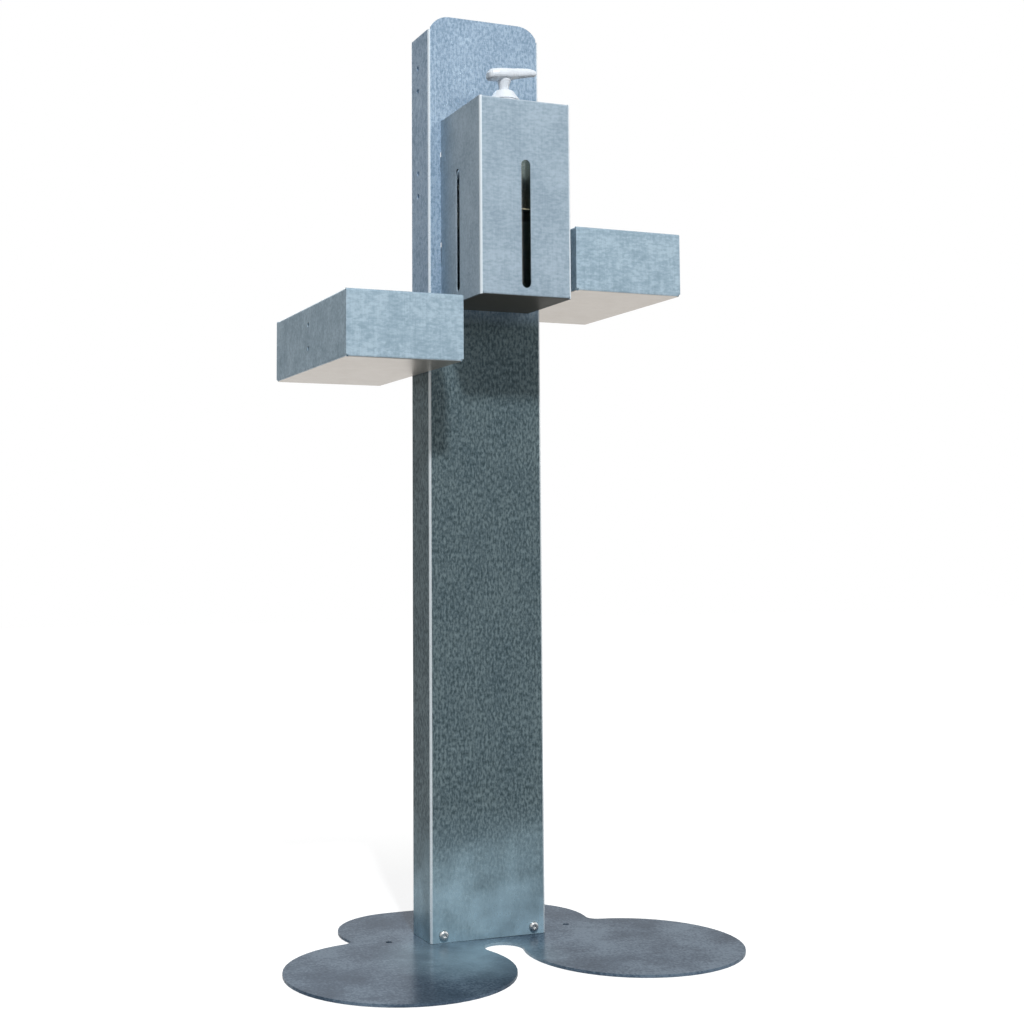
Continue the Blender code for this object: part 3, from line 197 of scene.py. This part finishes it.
    # painted highlight: a bright line along the outside of each bend, standing in for the glint of
    # light on the bend
    outward = addNode(tree, "ShaderNodeVectorMath", links={0: place},
                      operation="ABSOLUTE").outputs["Vector"]
    for corner, begin, width in look["bends"]:
        reach = addNode(tree, "ShaderNodeVectorMath", {1: corner}, {0: outward},
                        operation="DOT_PRODUCT")
        line = addNode(tree, "ShaderNodeMapRange",
                       {"From Min": begin, "From Max": begin + width,
                        "To Max": look["paintedGlint"]["share"]},
                       {"Value": reach.outputs["Value"]})
        coats.append((line.outputs["Result"], look["paintedGlint"]["tone"]))
    for cover, hexText in coats:
        surface = addNode(tree, "ShaderNodeMix", {"B": colour(hexText)},
                          {"Factor": cover, "A": surface}, data_type="RGBA").outputs["Result"]
    tree.links.new(surface, shader.inputs["Base Color"])
    mirror = addNode(tree, "ShaderNodeMapRange",
                     {"To Min": look["metallic"], "To Max": look["paintedUnderside"]["metallic"]},
                     {"Value": paintedUnderside})
    tree.links.new(mirror.outputs["Result"], shader.inputs["Metallic"])
    rough = addNode(tree, "ShaderNodeMapRange",
                    {"To Min": look["rough"][1], "To Max": look["rough"][0]}, {"Value": tone})
    tree.links.new(rough.outputs["Result"], shader.inputs["Roughness"])
    # a sheet is never quite flat: long soft waves, then the grain itself
    ripple = addNode(tree, "ShaderNodeTexNoise",
                     {"Scale": perMm(look["ripple"]["size"]), "Detail": 1.0}, {"Vector": place})
    waves = addNode(tree, "ShaderNodeBump",
                    {"Strength": look["ripple"]["strength"], "Distance": look["ripple"]["deep"]},
                    {"Height": ripple.outputs["Fac"]})
    skin = addNode(tree, "ShaderNodeBump",
                   {"Strength": look["skin"]["strength"], "Distance": look["skin"]["deep"]},
                   {"Height": grain, "Normal": waves.outputs["Normal"]})
    tree.links.new(skin.outputs["Normal"], shader.inputs["Normal"])
    shader.inputs["Specular IOR Level"].default_value = 0.0    # bare zinc, no clear gloss on it
    return material


# sizes of the patterns in millimetres along X, Y and Z, places and depths in metres; the grain is
# drawn at about twice its real size, because the real one is finer than a pixel
columnLook = {
    "dark": "#8199ae", "middle": "#98aec3", "light": "#b4cadd",
    "grain": {"size": (2.4, 2.4, 5.0), "share": 0.44},
    "threads": {"size": (6.0, 6.0, 2.2), "share": 0.16},
    "streaks": {"size": (2.0, 2.0, 60.0), "share": 0.12},
    "crystals": {"size": 3.0, "share": 0.14},
    "clouds": {"size": 42, "share": 0.16},
    "linesBesideBends": ((0.0580, 0.0008, 0.22),),    # from the middle, width, strength
    # painted shade: the column is darker below the dispenser
    "paintedShadeBelow": {"height": (0.655, 0.690), "low": "#84877d", "high": "#a7a99f"},
    # painted light: the foot of the column is paler
    "bloomAndPaintedLight": {"height": 0.15, "share": 1.0, "least": 0.45, "tone": "#aecbd9"},
    "palePatch": {"middle": (-0.045, -0.060, 0.003), "reach": (0.015, 0.11), "share": 0.0},
    "paintedUnderside": {"share": 0.0, "tone": "#cfc8be", "metallic": 0.3},
    "bends": (((1, -1, 0), 0.0637, 0.0008),),    # outward direction, where it begins, width
    # painted highlight along the column's bends
    "paintedGlint": {"tone": "#eaf1f5", "share": 0.8},
    "rough": (0.24, 0.36), "metallic": 0.3,
    "ripple": {"size": 90, "deep": 0.0008, "strength": 0.5},
    "skin": {"deep": 0.000008, "strength": 0.3},
}
# no painted shade below the dispenser
noShadeBelow = {"height": (-1.0, -0.9), "low": "#ffffff", "high": "#ffffff"}
noPaintedFootLight = dict(columnLook["bloomAndPaintedLight"], share=0.0)
plateLook = dict(
    columnLook, dark="#3b4a5a", middle="#4c5c6d", light="#6b7c8c",
    grain={"size": (2.4, 3.6, 2.4), "share": 0.30},
    threads={"size": (6.0, 2.2, 6.0), "share": 0.08},
    streaks={"size": (60.0, 2.0, 2.0), "share": 0.10},
    clouds={"size": 75, "share": 0.48},
    linesBesideBends=(), bends=(), paintedShadeBelow=noShadeBelow, bloomAndPaintedLight=noPaintedFootLight,
    palePatch=dict(columnLook["palePatch"], share=0.85),
    paintedUnderside=dict(columnLook["paintedUnderside"], metallic=0.4),
    rough=(0.16, 0.28), metallic=0.4, skin=dict(columnLook["skin"], deep=0.000004))
boxLook = dict(
    columnLook, dark="#92a4b2", middle="#a0b2bf", light="#adbecb",
    grain={"size": (7.0, 3.0, 2.6), "share": 0.34},
    threads={"size": (3.0, 3.0, 6.0), "share": 0.14},
    clouds={"size": 30, "share": 0.26},
    # painted highlight along the box's bends and its top rim
    linesBesideBends=(), bends=(((1, 1, 0), 0.1566, 0.0006), ((0, 1, 1), 0.9873, 0.0007)),
    paintedShadeBelow=noShadeBelow, bloomAndPaintedLight=noPaintedFootLight,
    # painted shade: the dispenser's underside is dark
    paintedUnderside={"share": 1.0, "tone": "#5b5a54", "metallic": 0.2},
    rough=(0.28, 0.40))
trayLook = dict(
    boxLook, dark="#90a6b4", middle="#9eb4c2", light="#b2c7d4",
    clouds={"size": 22, "share": 0.34}, bends=(),
    # painted reflection: the trays' undersides are light and warm
    paintedUnderside={"share": 1.0, "tone": "#bfb7ad", "metallic": 0.8})
bracketLook = dict(boxLook, bends=(), paintedUnderside=columnLook["paintedUnderside"])

columnSheet = galvanisedSheet("galvanisedColumnSheet", columnLook)
plateSheet = galvanisedSheet("galvanisedPlateSheet", plateLook)
boxSheet = galvanisedSheet("galvanisedBoxSheet", boxLook)
traySheet = galvanisedSheet("galvanisedTraySheet", trayLook)
bracketSheet = galvanisedSheet("galvanisedBracketSheet", bracketLook)

zincLook = {"dark": "#a7a9aa", "light": "#cfd1d1", "grain": 0.8, "rough": (0.20, 0.34)}


# Zinc-plated steel, tumbled: bright, fine-grained, with a slight warm cast
def zincPlated():
    material, tree, shader, coords = newMaterial("zincPlatedSteel")
    grain = addNode(tree, "ShaderNodeTexNoise", {"Scale": perMm(zincLook["grain"]), "Detail": 4.0},
                    {"Vector": coords["Object"]}).outputs["Fac"]
    surface = addNode(tree, "ShaderNodeValToRGB", links={"Fac": grain},
                      stops=((0.0, zincLook["dark"]), (1.0, zincLook["light"])))
    tree.links.new(surface.outputs["Color"], shader.inputs["Base Color"])
    rough = addNode(tree, "ShaderNodeMapRange",
                    {"To Min": zincLook["rough"][0], "To Max": zincLook["rough"][1]},
                    {"Value": grain})
    tree.links.new(rough.outputs["Result"], shader.inputs["Roughness"])
    shader.inputs["Metallic"].default_value = 1.0
    return material


whiteLook = {"dark": "#e6edf4", "light": "#eff4f9", "peel": 1.6, "deep": 0.00008, "rough": 0.32}


# Injection-moulded white polypropylene: satin and slightly cool, with a trace of orange peel
def whiteMoulding():
    material, tree, shader, coords = newMaterial("whitePolypropylene")
    peel = addNode(tree, "ShaderNodeTexNoise", {"Scale": perMm(whiteLook["peel"]), "Detail": 2.0},
                   {"Vector": coords["Object"]}).outputs["Fac"]
    surface = addNode(tree, "ShaderNodeValToRGB", links={"Fac": peel},
                      stops=((0.0, whiteLook["dark"]), (1.0, whiteLook["light"])))
    tree.links.new(surface.outputs["Color"], shader.inputs["Base Color"])
    bump = addNode(tree, "ShaderNodeBump", {"Strength": 0.2, "Distance": whiteLook["deep"]},
                   {"Height": peel})
    tree.links.new(bump.outputs["Normal"], shader.inputs["Normal"])
    shader.inputs["Roughness"].default_value = whiteLook["rough"]
    shader.inputs["IOR"].default_value = 1.49
    return material


bottleLook = {"tint": "#f1ead9", "wave": 25, "deep": 0.0006, "rough": 0.04}


# Blow-moulded PET bottle: clear with a faint straw tint and wavy walls
def clearBottle():
    material, tree, shader, coords = newMaterial("clearBlownPet")
    wave = addNode(tree, "ShaderNodeTexNoise",
                   {"Scale": perMm(bottleLook["wave"]), "Detail": 1.0},
                   {"Vector": coords["Object"]})
    bump = addNode(tree, "ShaderNodeBump", {"Strength": 0.3, "Distance": bottleLook["deep"]},
                   {"Height": wave.outputs["Fac"]})
    tree.links.new(bump.outputs["Normal"], shader.inputs["Normal"])
    shader.inputs["Base Color"].default_value = colour(bottleLook["tint"])
    shader.inputs["Transmission Weight"].default_value = 1.0
    shader.inputs["Roughness"].default_value = bottleLook["rough"]
    shader.inputs["IOR"].default_value = 1.57
    return material


rubberLook = {"dark": "#17181a", "light": "#2b2c2e", "bloomAndPaintedLight": 3, "rough": 0.65}


# Moulded nitrile rubber: matt near-black with a soft bloom
def blackRubber():
    material, tree, shader, coords = newMaterial("nitrileRubber")
    bloomAndPaintedLight = addNode(tree, "ShaderNodeTexNoise",
                    {"Scale": perMm(rubberLook["bloomAndPaintedLight"]), "Detail": 3.0},
                    {"Vector": coords["Object"]})
    surface = addNode(tree, "ShaderNodeValToRGB", links={"Fac": bloomAndPaintedLight.outputs["Fac"]},
                      stops=((0.0, rubberLook["dark"]), (1.0, rubberLook["light"])))
    tree.links.new(surface.outputs["Color"], shader.inputs["Base Color"])
    shader.inputs["Roughness"].default_value = rubberLook["rough"]
    return material


stainlessLook = {"tone": "#c9c9c6", "marks": 0.5, "rough": (0.14, 0.28)}


# Drawn stainless wire and ball: bright with fine draw marks
def brightStainless():
    material, tree, shader, coords = newMaterial("drawnStainless")
    marks = addNode(tree, "ShaderNodeTexNoise",
                    {"Scale": perMm(stainlessLook["marks"]), "Detail": 2.0},
                    {"Vector": coords["Object"]})
    rough = addNode(tree, "ShaderNodeMapRange",
                    {"To Min": stainlessLook["rough"][0], "To Max": stainlessLook["rough"][1]},
                    {"Value": marks.outputs["Fac"]})
    tree.links.new(rough.outputs["Result"], shader.inputs["Roughness"])
    shader.inputs["Base Color"].default_value = colour(stainlessLook["tone"])
    shader.inputs["Metallic"].default_value = 1.0
    return material


zincSteel = zincPlated()
whitePlastic = whiteMoulding()
bottlePlastic = clearBottle()
sealRubber = blackRubber()
stainlessSteel = brightStainless()
print("materials made")

finishes = {
    "column": columnSheet, "base_plate": plateSheet, "dispenser_box": boxSheet,
    "left_tray": traySheet, "right_tray": traySheet, "foot_bracket": bracketSheet,
    "bottle": bottlePlastic, "neck_gasket": sealRubber, "piston": sealRubber,
    "return_spring": stainlessSteel, "inlet_ball": stainlessSteel,
}
for name, node in nodes.items():
    if name in finishes:
        finish = finishes[name]
    elif "screw" in name or "nut" in name or "washer" in name:
        finish = zincSteel
    else:
        finish = whitePlastic
    node.data.materials.clear()
    node.data.materials.append(finish)
print("CAD nodes dressed")


# in edit mode: merges what lies in one place, turns the faces outwards and smooths the round parts
def finishMesh(mergeWithin, smoothTo):
    bpy.ops.mesh.select_all(action="SELECT")
    bpy.ops.mesh.remove_doubles(threshold=mergeWithin)
    bpy.ops.mesh.normals_make_consistent(inside=False)
    bpy.ops.object.mode_set(mode="OBJECT")
    bpy.ops.object.shade_smooth_by_angle(angle=math.radians(smoothTo))


ringPlan = {"sides": 64, "mergeWithin": 0.00001, "smoothTo": 40}


# draws rings of (height, radius) up from a circle; the last ring closes on the first, so the piece
# is a ring with a hole down its middle
def turnedRing(name, centre, rings):
    bpy.ops.object.select_all(action="DESELECT")
    height, radius = rings[0]
    bpy.ops.mesh.primitive_circle_add(vertices=ringPlan["sides"], radius=radius,
                                      fill_type="NOTHING",
                                      location=(centre[0], centre[1], centre[2] + height))
    piece = bpy.context.object
    piece.name = name
    bpy.ops.object.transform_apply(location=True, rotation=True, scale=True)
    bpy.ops.object.mode_set(mode="EDIT")
    bpy.ops.mesh.select_all(action="SELECT")
    for nextHeight, nextRadius in rings[1:]:
        bpy.ops.mesh.extrude_edges_move(
            TRANSFORM_OT_translate={"value": (0, 0, nextHeight - height)})
        share = nextRadius / radius
        bpy.ops.transform.resize(value=(share, share, 1),
                                 center_override=(centre[0], centre[1], centre[2] + nextHeight))
        height, radius = nextHeight, nextRadius
    finishMesh(ringPlan["mergeWithin"], ringPlan["smoothTo"])
    piece.select_set(False)
    return piece


gelLook = {"tint": "#c4def0", "bubble": "#f2f9fc", "spacing": 9, "edge": (0.10, 0.06),
           "rough": 0.08}


# Hand gel: clear and faintly blue, thick enough to hold a few small bubbles
def handGel():
    material, tree, shader, coords = newMaterial("clearHandGel")
    bubbles = addNode(tree, "ShaderNodeTexVoronoi", {"Scale": perMm(gelLook["spacing"])},
                      {"Vector": coords["Object"]})
    dots = addNode(tree, "ShaderNodeMapRange",
                   {"From Min": gelLook["edge"][0], "From Max": gelLook["edge"][1]},
                   {"Value": bubbles.outputs["Distance"]})
    tint = addNode(tree, "ShaderNodeMix",
                   {"A": colour(gelLook["tint"]), "B": colour(gelLook["bubble"])},
                   {"Factor": dots.outputs["Result"]}, data_type="RGBA")
    tree.links.new(tint.outputs["Result"], shader.inputs["Base Color"])
    shader.inputs["Transmission Weight"].default_value = 1.0
    shader.inputs["Roughness"].default_value = gelLook["rough"]
    shader.inputs["IOR"].default_value = 1.37
    return material


paleRingLook = {"light": "#f4f6f4", "dark": "#d3dad8", "bubble": 1.2, "deep": 0.0004, "rough": 0.6}


# A pale matt ring where the gel meets the bottle's wall, with small cells and a fine bump
def paleRingMaterial():
    material, tree, shader, coords = newMaterial("paleRingMaterial")
    bubbles = addNode(tree, "ShaderNodeTexVoronoi", {"Scale": perMm(paleRingLook["bubble"])},
                      {"Vector": coords["Object"]}).outputs["Distance"]
    surface = addNode(tree, "ShaderNodeValToRGB", links={"Fac": bubbles},
                      stops=((0.0, paleRingLook["light"]), (1.0, paleRingLook["dark"])))
    tree.links.new(surface.outputs["Color"], shader.inputs["Base Color"])
    bump = addNode(tree, "ShaderNodeBump", {"Strength": 0.6, "Distance": paleRingLook["deep"]},
                   {"Height": bubbles})
    tree.links.new(bump.outputs["Normal"], shader.inputs["Normal"])
    shader.inputs["Roughness"].default_value = paleRingLook["rough"]
    return material


# the gel stands in the lower half of the bottle, round the dip tube, and climbs a little at the
# walls; heights are above the bottle's foot
gelPlan = {"centre": (0, -0.0537, 0.6765), "hole": 0.0033, "wall": 0.0436, "foot": 0.0391,
           "dish": 0.0271, "middle": 0.0054, "low": 0.0014, "round": 0.0061, "level": 0.0903,
           "climb": 0.0009, "bend": {"rise": 0.3, "in": 0.0012}, "flatFrom": 0.004,
           "flatTo": 0.003}
hole, wall, middle = gelPlan["hole"], gelPlan["wall"], gelPlan["middle"]
level, climb = gelPlan["level"], gelPlan["climb"]
gel = turnedRing("handGelFill", gelPlan["centre"], (
    (middle, hole), (middle, gelPlan["dish"]), (gelPlan["low"], gelPlan["foot"]),
    (gelPlan["round"], wall), (level + climb, wall),
    (level + climb * gelPlan["bend"]["rise"], wall - gelPlan["bend"]["in"]),
    (level, wall - gelPlan["flatFrom"]), (level, hole + gelPlan["flatTo"]),
    (level + climb, hole), (middle, hole)))
gel.data.materials.append(handGel())
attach(gel, "stand")

# the pale ring's outline, in shares of its rise and its depth, from the foot at the wall and round
paleRingPlan = {"lift": 0.0001, "rise": 0.0011, "deep": 0.0012,
            "outline": ((0, 0), (0.7, 0), (1, 0.4), (0.6, 1), (0, 0.8), (0, 0))}
paleRingBase = level + climb + paleRingPlan["lift"]
paleRing = turnedRing("gelPaleRing", gelPlan["centre"], [
    (paleRingBase + paleRingPlan["rise"] * up, wall - paleRingPlan["deep"] * inward)
    for up, inward in paleRingPlan["outline"]])
paleRing.data.materials.append(paleRingMaterial())
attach(paleRing, "stand")
print("gel and foam made")

# the return spring stands on the chamber's floor, and in the pump its coils close up when the pump
# is pressed; here the CAD coil is copied, merged and smoothed, and the CAD piece is hidden
springPlan = {"foot": (0, -0.0537, 0.84447), "top": (0, -0.0537, 0.87833),
              "mergeWithin": 0.000001, "smoothTo": 40}
bpy.ops.object.select_all(action="DESELECT")
spring = bpy.data.objects.new("returnSpringCoil", nodes["return_spring"].data.copy())
bpy.context.collection.objects.link(spring)
spring.select_set(True)
bpy.context.view_layer.objects.active = spring
bpy.ops.object.mode_set(mode="EDIT")
finishMesh(springPlan["mergeWithin"], springPlan["smoothTo"])
spring.select_set(False)
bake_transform(spring)
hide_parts("return_spring")
print("return spring made")

weldLook = {"dark": "#6d6f70", "light": "#a3a6a6", "scale": 1.5, "deep": 0.0002,
            "metallic": 0.8, "rough": 0.45}


# Arc weld, brushed and zinc-sprayed: dull grey scales, darker and lighter in patches
def weldMetal():
    material, tree, shader, coords = newMaterial("brushedWeldMetal")
    scales = addNode(tree, "ShaderNodeTexNoise",
                     {"Scale": perMm(weldLook["scale"]), "Detail": 3.0},
                     {"Vector": coords["Object"]}).outputs["Fac"]
    surface = addNode(tree, "ShaderNodeValToRGB", links={"Fac": scales},
                      stops=((0.3, weldLook["dark"]), (0.7, weldLook["light"])))
    tree.links.new(surface.outputs["Color"], shader.inputs["Base Color"])
    bump = addNode(tree, "ShaderNodeBump", {"Strength": 0.5, "Distance": weldLook["deep"]},
                   {"Height": scales})
    tree.links.new(bump.outputs["Normal"], shader.inputs["Normal"])
    shader.inputs["Metallic"].default_value = weldLook["metallic"]
    shader.inputs["Roughness"].default_value = weldLook["rough"]
    return material


# a bead is a chain of overlapping scales, lying half sunk in the corner between tab and plate;
# its girths are shares of the radius, and a place is x, y, z and degrees turned
beadPlan = {"radius": 0.0016, "length": 0.024, "scales": 10, "sides": 12,
            "tip": 0.5, "swell": 1.18, "waist": 0.95, "mergeWithin": 0.000001, "smoothTo": 60,
            "places": {"weldBeadLeft": (-0.0595, 0.020, 0.0038, 0),
                       "weldBeadRight": (0.0595, 0.020, 0.0038, 0),
                       "weldBeadBackLeft": (-0.032, 0.0378, 0.0038, 90),
                       "weldBeadBackRight": (0.032, 0.0378, 0.0038, 90)}}
steps = beadPlan["scales"] * 2
stride = beadPlan["length"] / steps
along, girth = -beadPlan["length"] / 2, beadPlan["tip"]
bpy.ops.object.select_all(action="DESELECT")
bpy.ops.mesh.primitive_circle_add(vertices=beadPlan["sides"],
                                  radius=beadPlan["radius"] * beadPlan["tip"], fill_type="NGON",
                                  location=(0, along, 0), rotation=(math.radians(90), 0, 0))
bead = bpy.context.object
bpy.ops.object.transform_apply(location=True, rotation=True, scale=True)
bpy.ops.object.mode_set(mode="EDIT")
bpy.ops.mesh.select_all(action="SELECT")
for step in range(steps):
    nextGirth = beadPlan["swell"] if step % 2 == 0 else beadPlan["waist"]
    if step == steps - 1:
        nextGirth = beadPlan["tip"]
    bpy.ops.mesh.extrude_region_move(TRANSFORM_OT_translate={"value": (0, stride, 0)})
    along += stride
    bpy.ops.transform.resize(value=(nextGirth / girth, 1, nextGirth / girth),
                             center_override=(0, along, 0))
    girth = nextGirth
finishMesh(beadPlan["mergeWithin"], beadPlan["smoothTo"])
bead.data.materials.append(weldMetal())
for index, (name, (x, y, z, turned)) in enumerate(beadPlan["places"].items()):
    bpy.ops.object.select_all(action="DESELECT")
    piece = bead
    if index < len(beadPlan["places"]) - 1:
        piece = bead.copy()
        piece.data = bead.data.copy()
        bpy.context.collection.objects.link(piece)
    piece.name = name
    piece.location = (x, y, z)
    piece.rotation_euler = (0, 0, math.radians(turned))
    piece.select_set(True)
    bpy.context.view_layer.objects.active = piece
    bpy.ops.object.transform_apply(location=True, rotation=True, scale=True)
    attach(piece, "stand")
bpy.ops.object.select_all(action="DESELECT")
print("weld beads made")


# 1 for rays that show the surroundings to the camera, straight, in metal or through clear
# plastic, and 0 for the light that falls on the object
def seenRays(tree):
    rays = addNode(tree, "ShaderNodeLightPath").outputs
    direct = addNode(tree, "ShaderNodeMath",
                     links={0: rays["Is Camera Ray"], 1: rays["Is Glossy Ray"]},
                     operation="MAXIMUM").outputs[0]
    return addNode(tree, "ShaderNodeMath", links={0: direct, 1: rays["Is Transmission Ray"]},
                   operation="MAXIMUM").outputs[0]


# floor: plain and pale, and it keeps the object's shadow; its glow is white from a little way out
floorPlan = {"size": 14.0, "drop": 0.0004, "tone": "#b8b8b8", "rough": 0.9,
             "glow": (0.80, 1.0), "fade": (0.35, 1.2)}
bpy.ops.mesh.primitive_plane_add(size=floorPlan["size"], location=(0, 0, -floorPlan["drop"]))
floor = bpy.context.object
floor.name = "studioFloor"
floorMaterial, tree, shader, coords = newMaterial("paleStudioFloor")
away = addNode(tree, "ShaderNodeVectorMath", links={0: coords["Object"]}, operation="LENGTH")
fade = addNode(tree, "ShaderNodeMapRange",
               {"From Min": floorPlan["fade"][0], "From Max": floorPlan["fade"][1],
                "To Min": floorPlan["glow"][0], "To Max": floorPlan["glow"][1]},
               {"Value": away.outputs["Value"]})
glow = addNode(tree, "ShaderNodeMath", links={0: seenRays(tree), 1: fade.outputs["Result"]},
               operation="MULTIPLY")
tree.links.new(glow.outputs[0], shader.inputs["Emission Strength"])
shader.inputs["Emission Color"].default_value = colour("#ffffff")
shader.inputs["Base Color"].default_value = colour(floorPlan["tone"])
shader.inputs["Roughness"].default_value = floorPlan["rough"]
shader.inputs["Specular IOR Level"].default_value = 0.0    # matt paper, no gloss
floor.data.materials.append(floorMaterial)

# world: plain white where it is seen, and a soft fill on the object
worldPlan = {"seen": 1.0, "fill": 0.05}
world = bpy.data.worlds.new("softStudio")
bpy.context.scene.world = world
world.use_nodes = True
tree = world.node_tree
back = tree.nodes["Background"]
power = addNode(tree, "ShaderNodeMapRange",
                {"To Min": worldPlan["fill"], "To Max": worldPlan["seen"]},
                {"Value": seenRays(tree)})
back.inputs["Color"].default_value = colour("#ffffff")
tree.links.new(power.outputs["Result"], back.inputs["Strength"])


def softLamp(name, place, target, size, watts, tone):
    lampData = bpy.data.lights.new(name, "AREA")
    lampData.color = colour(tone)[:3]
    lampData.shape = "SQUARE"
    lampData.size = size
    lampData.energy = watts
    lamp = bpy.data.objects.new(name, lampData)
    bpy.context.collection.objects.link(lamp)
    lamp.location = place
    lamp.rotation_euler = (Vector(target) - Vector(place)).to_track_quat("-Z", "Y").to_euler()


lampPlan = {
    "keyLamp": {"place": (-0.60, -2.50, 2.85), "target": (0, 0, 0.55), "size": 0.25,
                "watts": 105, "tone": "#fbfdff"},
    "sideLamp": {"place": (2.4, -1.2, 1.4), "target": (0, 0, 0.5), "size": 1.4,
                 "watts": 8, "tone": "#ffffff"},
    "backLamp": {"place": (0.4, 2.4, 2.0), "target": (0, 0, 0.5), "size": 1.6,
                 "watts": 22, "tone": "#ffffff"},
}
for name, plan in lampPlan.items():
    softLamp(name, **plan)

# camera: fitted to the photograph, whose middle is off the lens axis
cameraPlan = {"place": (-0.66835, -1.53258, 0.41411), "turn": -21.45, "tilt": 4.73,
              "roll": -0.17, "lens": 54.08, "sensor": 36, "shift": (0.0806, -0.0874)}
cameraData = bpy.data.cameras.new("photoCamera")
camera = bpy.data.objects.new("photoCamera", cameraData)
bpy.context.collection.objects.link(camera)
camera.location = cameraPlan["place"]
camera.rotation_euler = (math.radians(90 + cameraPlan["tilt"]), 0,
                         math.radians(cameraPlan["turn"]))
camera.rotation_euler.rotate_axis("Z", math.radians(cameraPlan["roll"]))
cameraData.lens = cameraPlan["lens"]
cameraData.sensor_width = cameraPlan["sensor"]
cameraData.shift_x, cameraData.shift_y = cameraPlan["shift"]
bpy.context.scene.camera = camera
bpy.context.scene.view_settings.view_transform = "Standard"
print("floor, lamps and camera set")
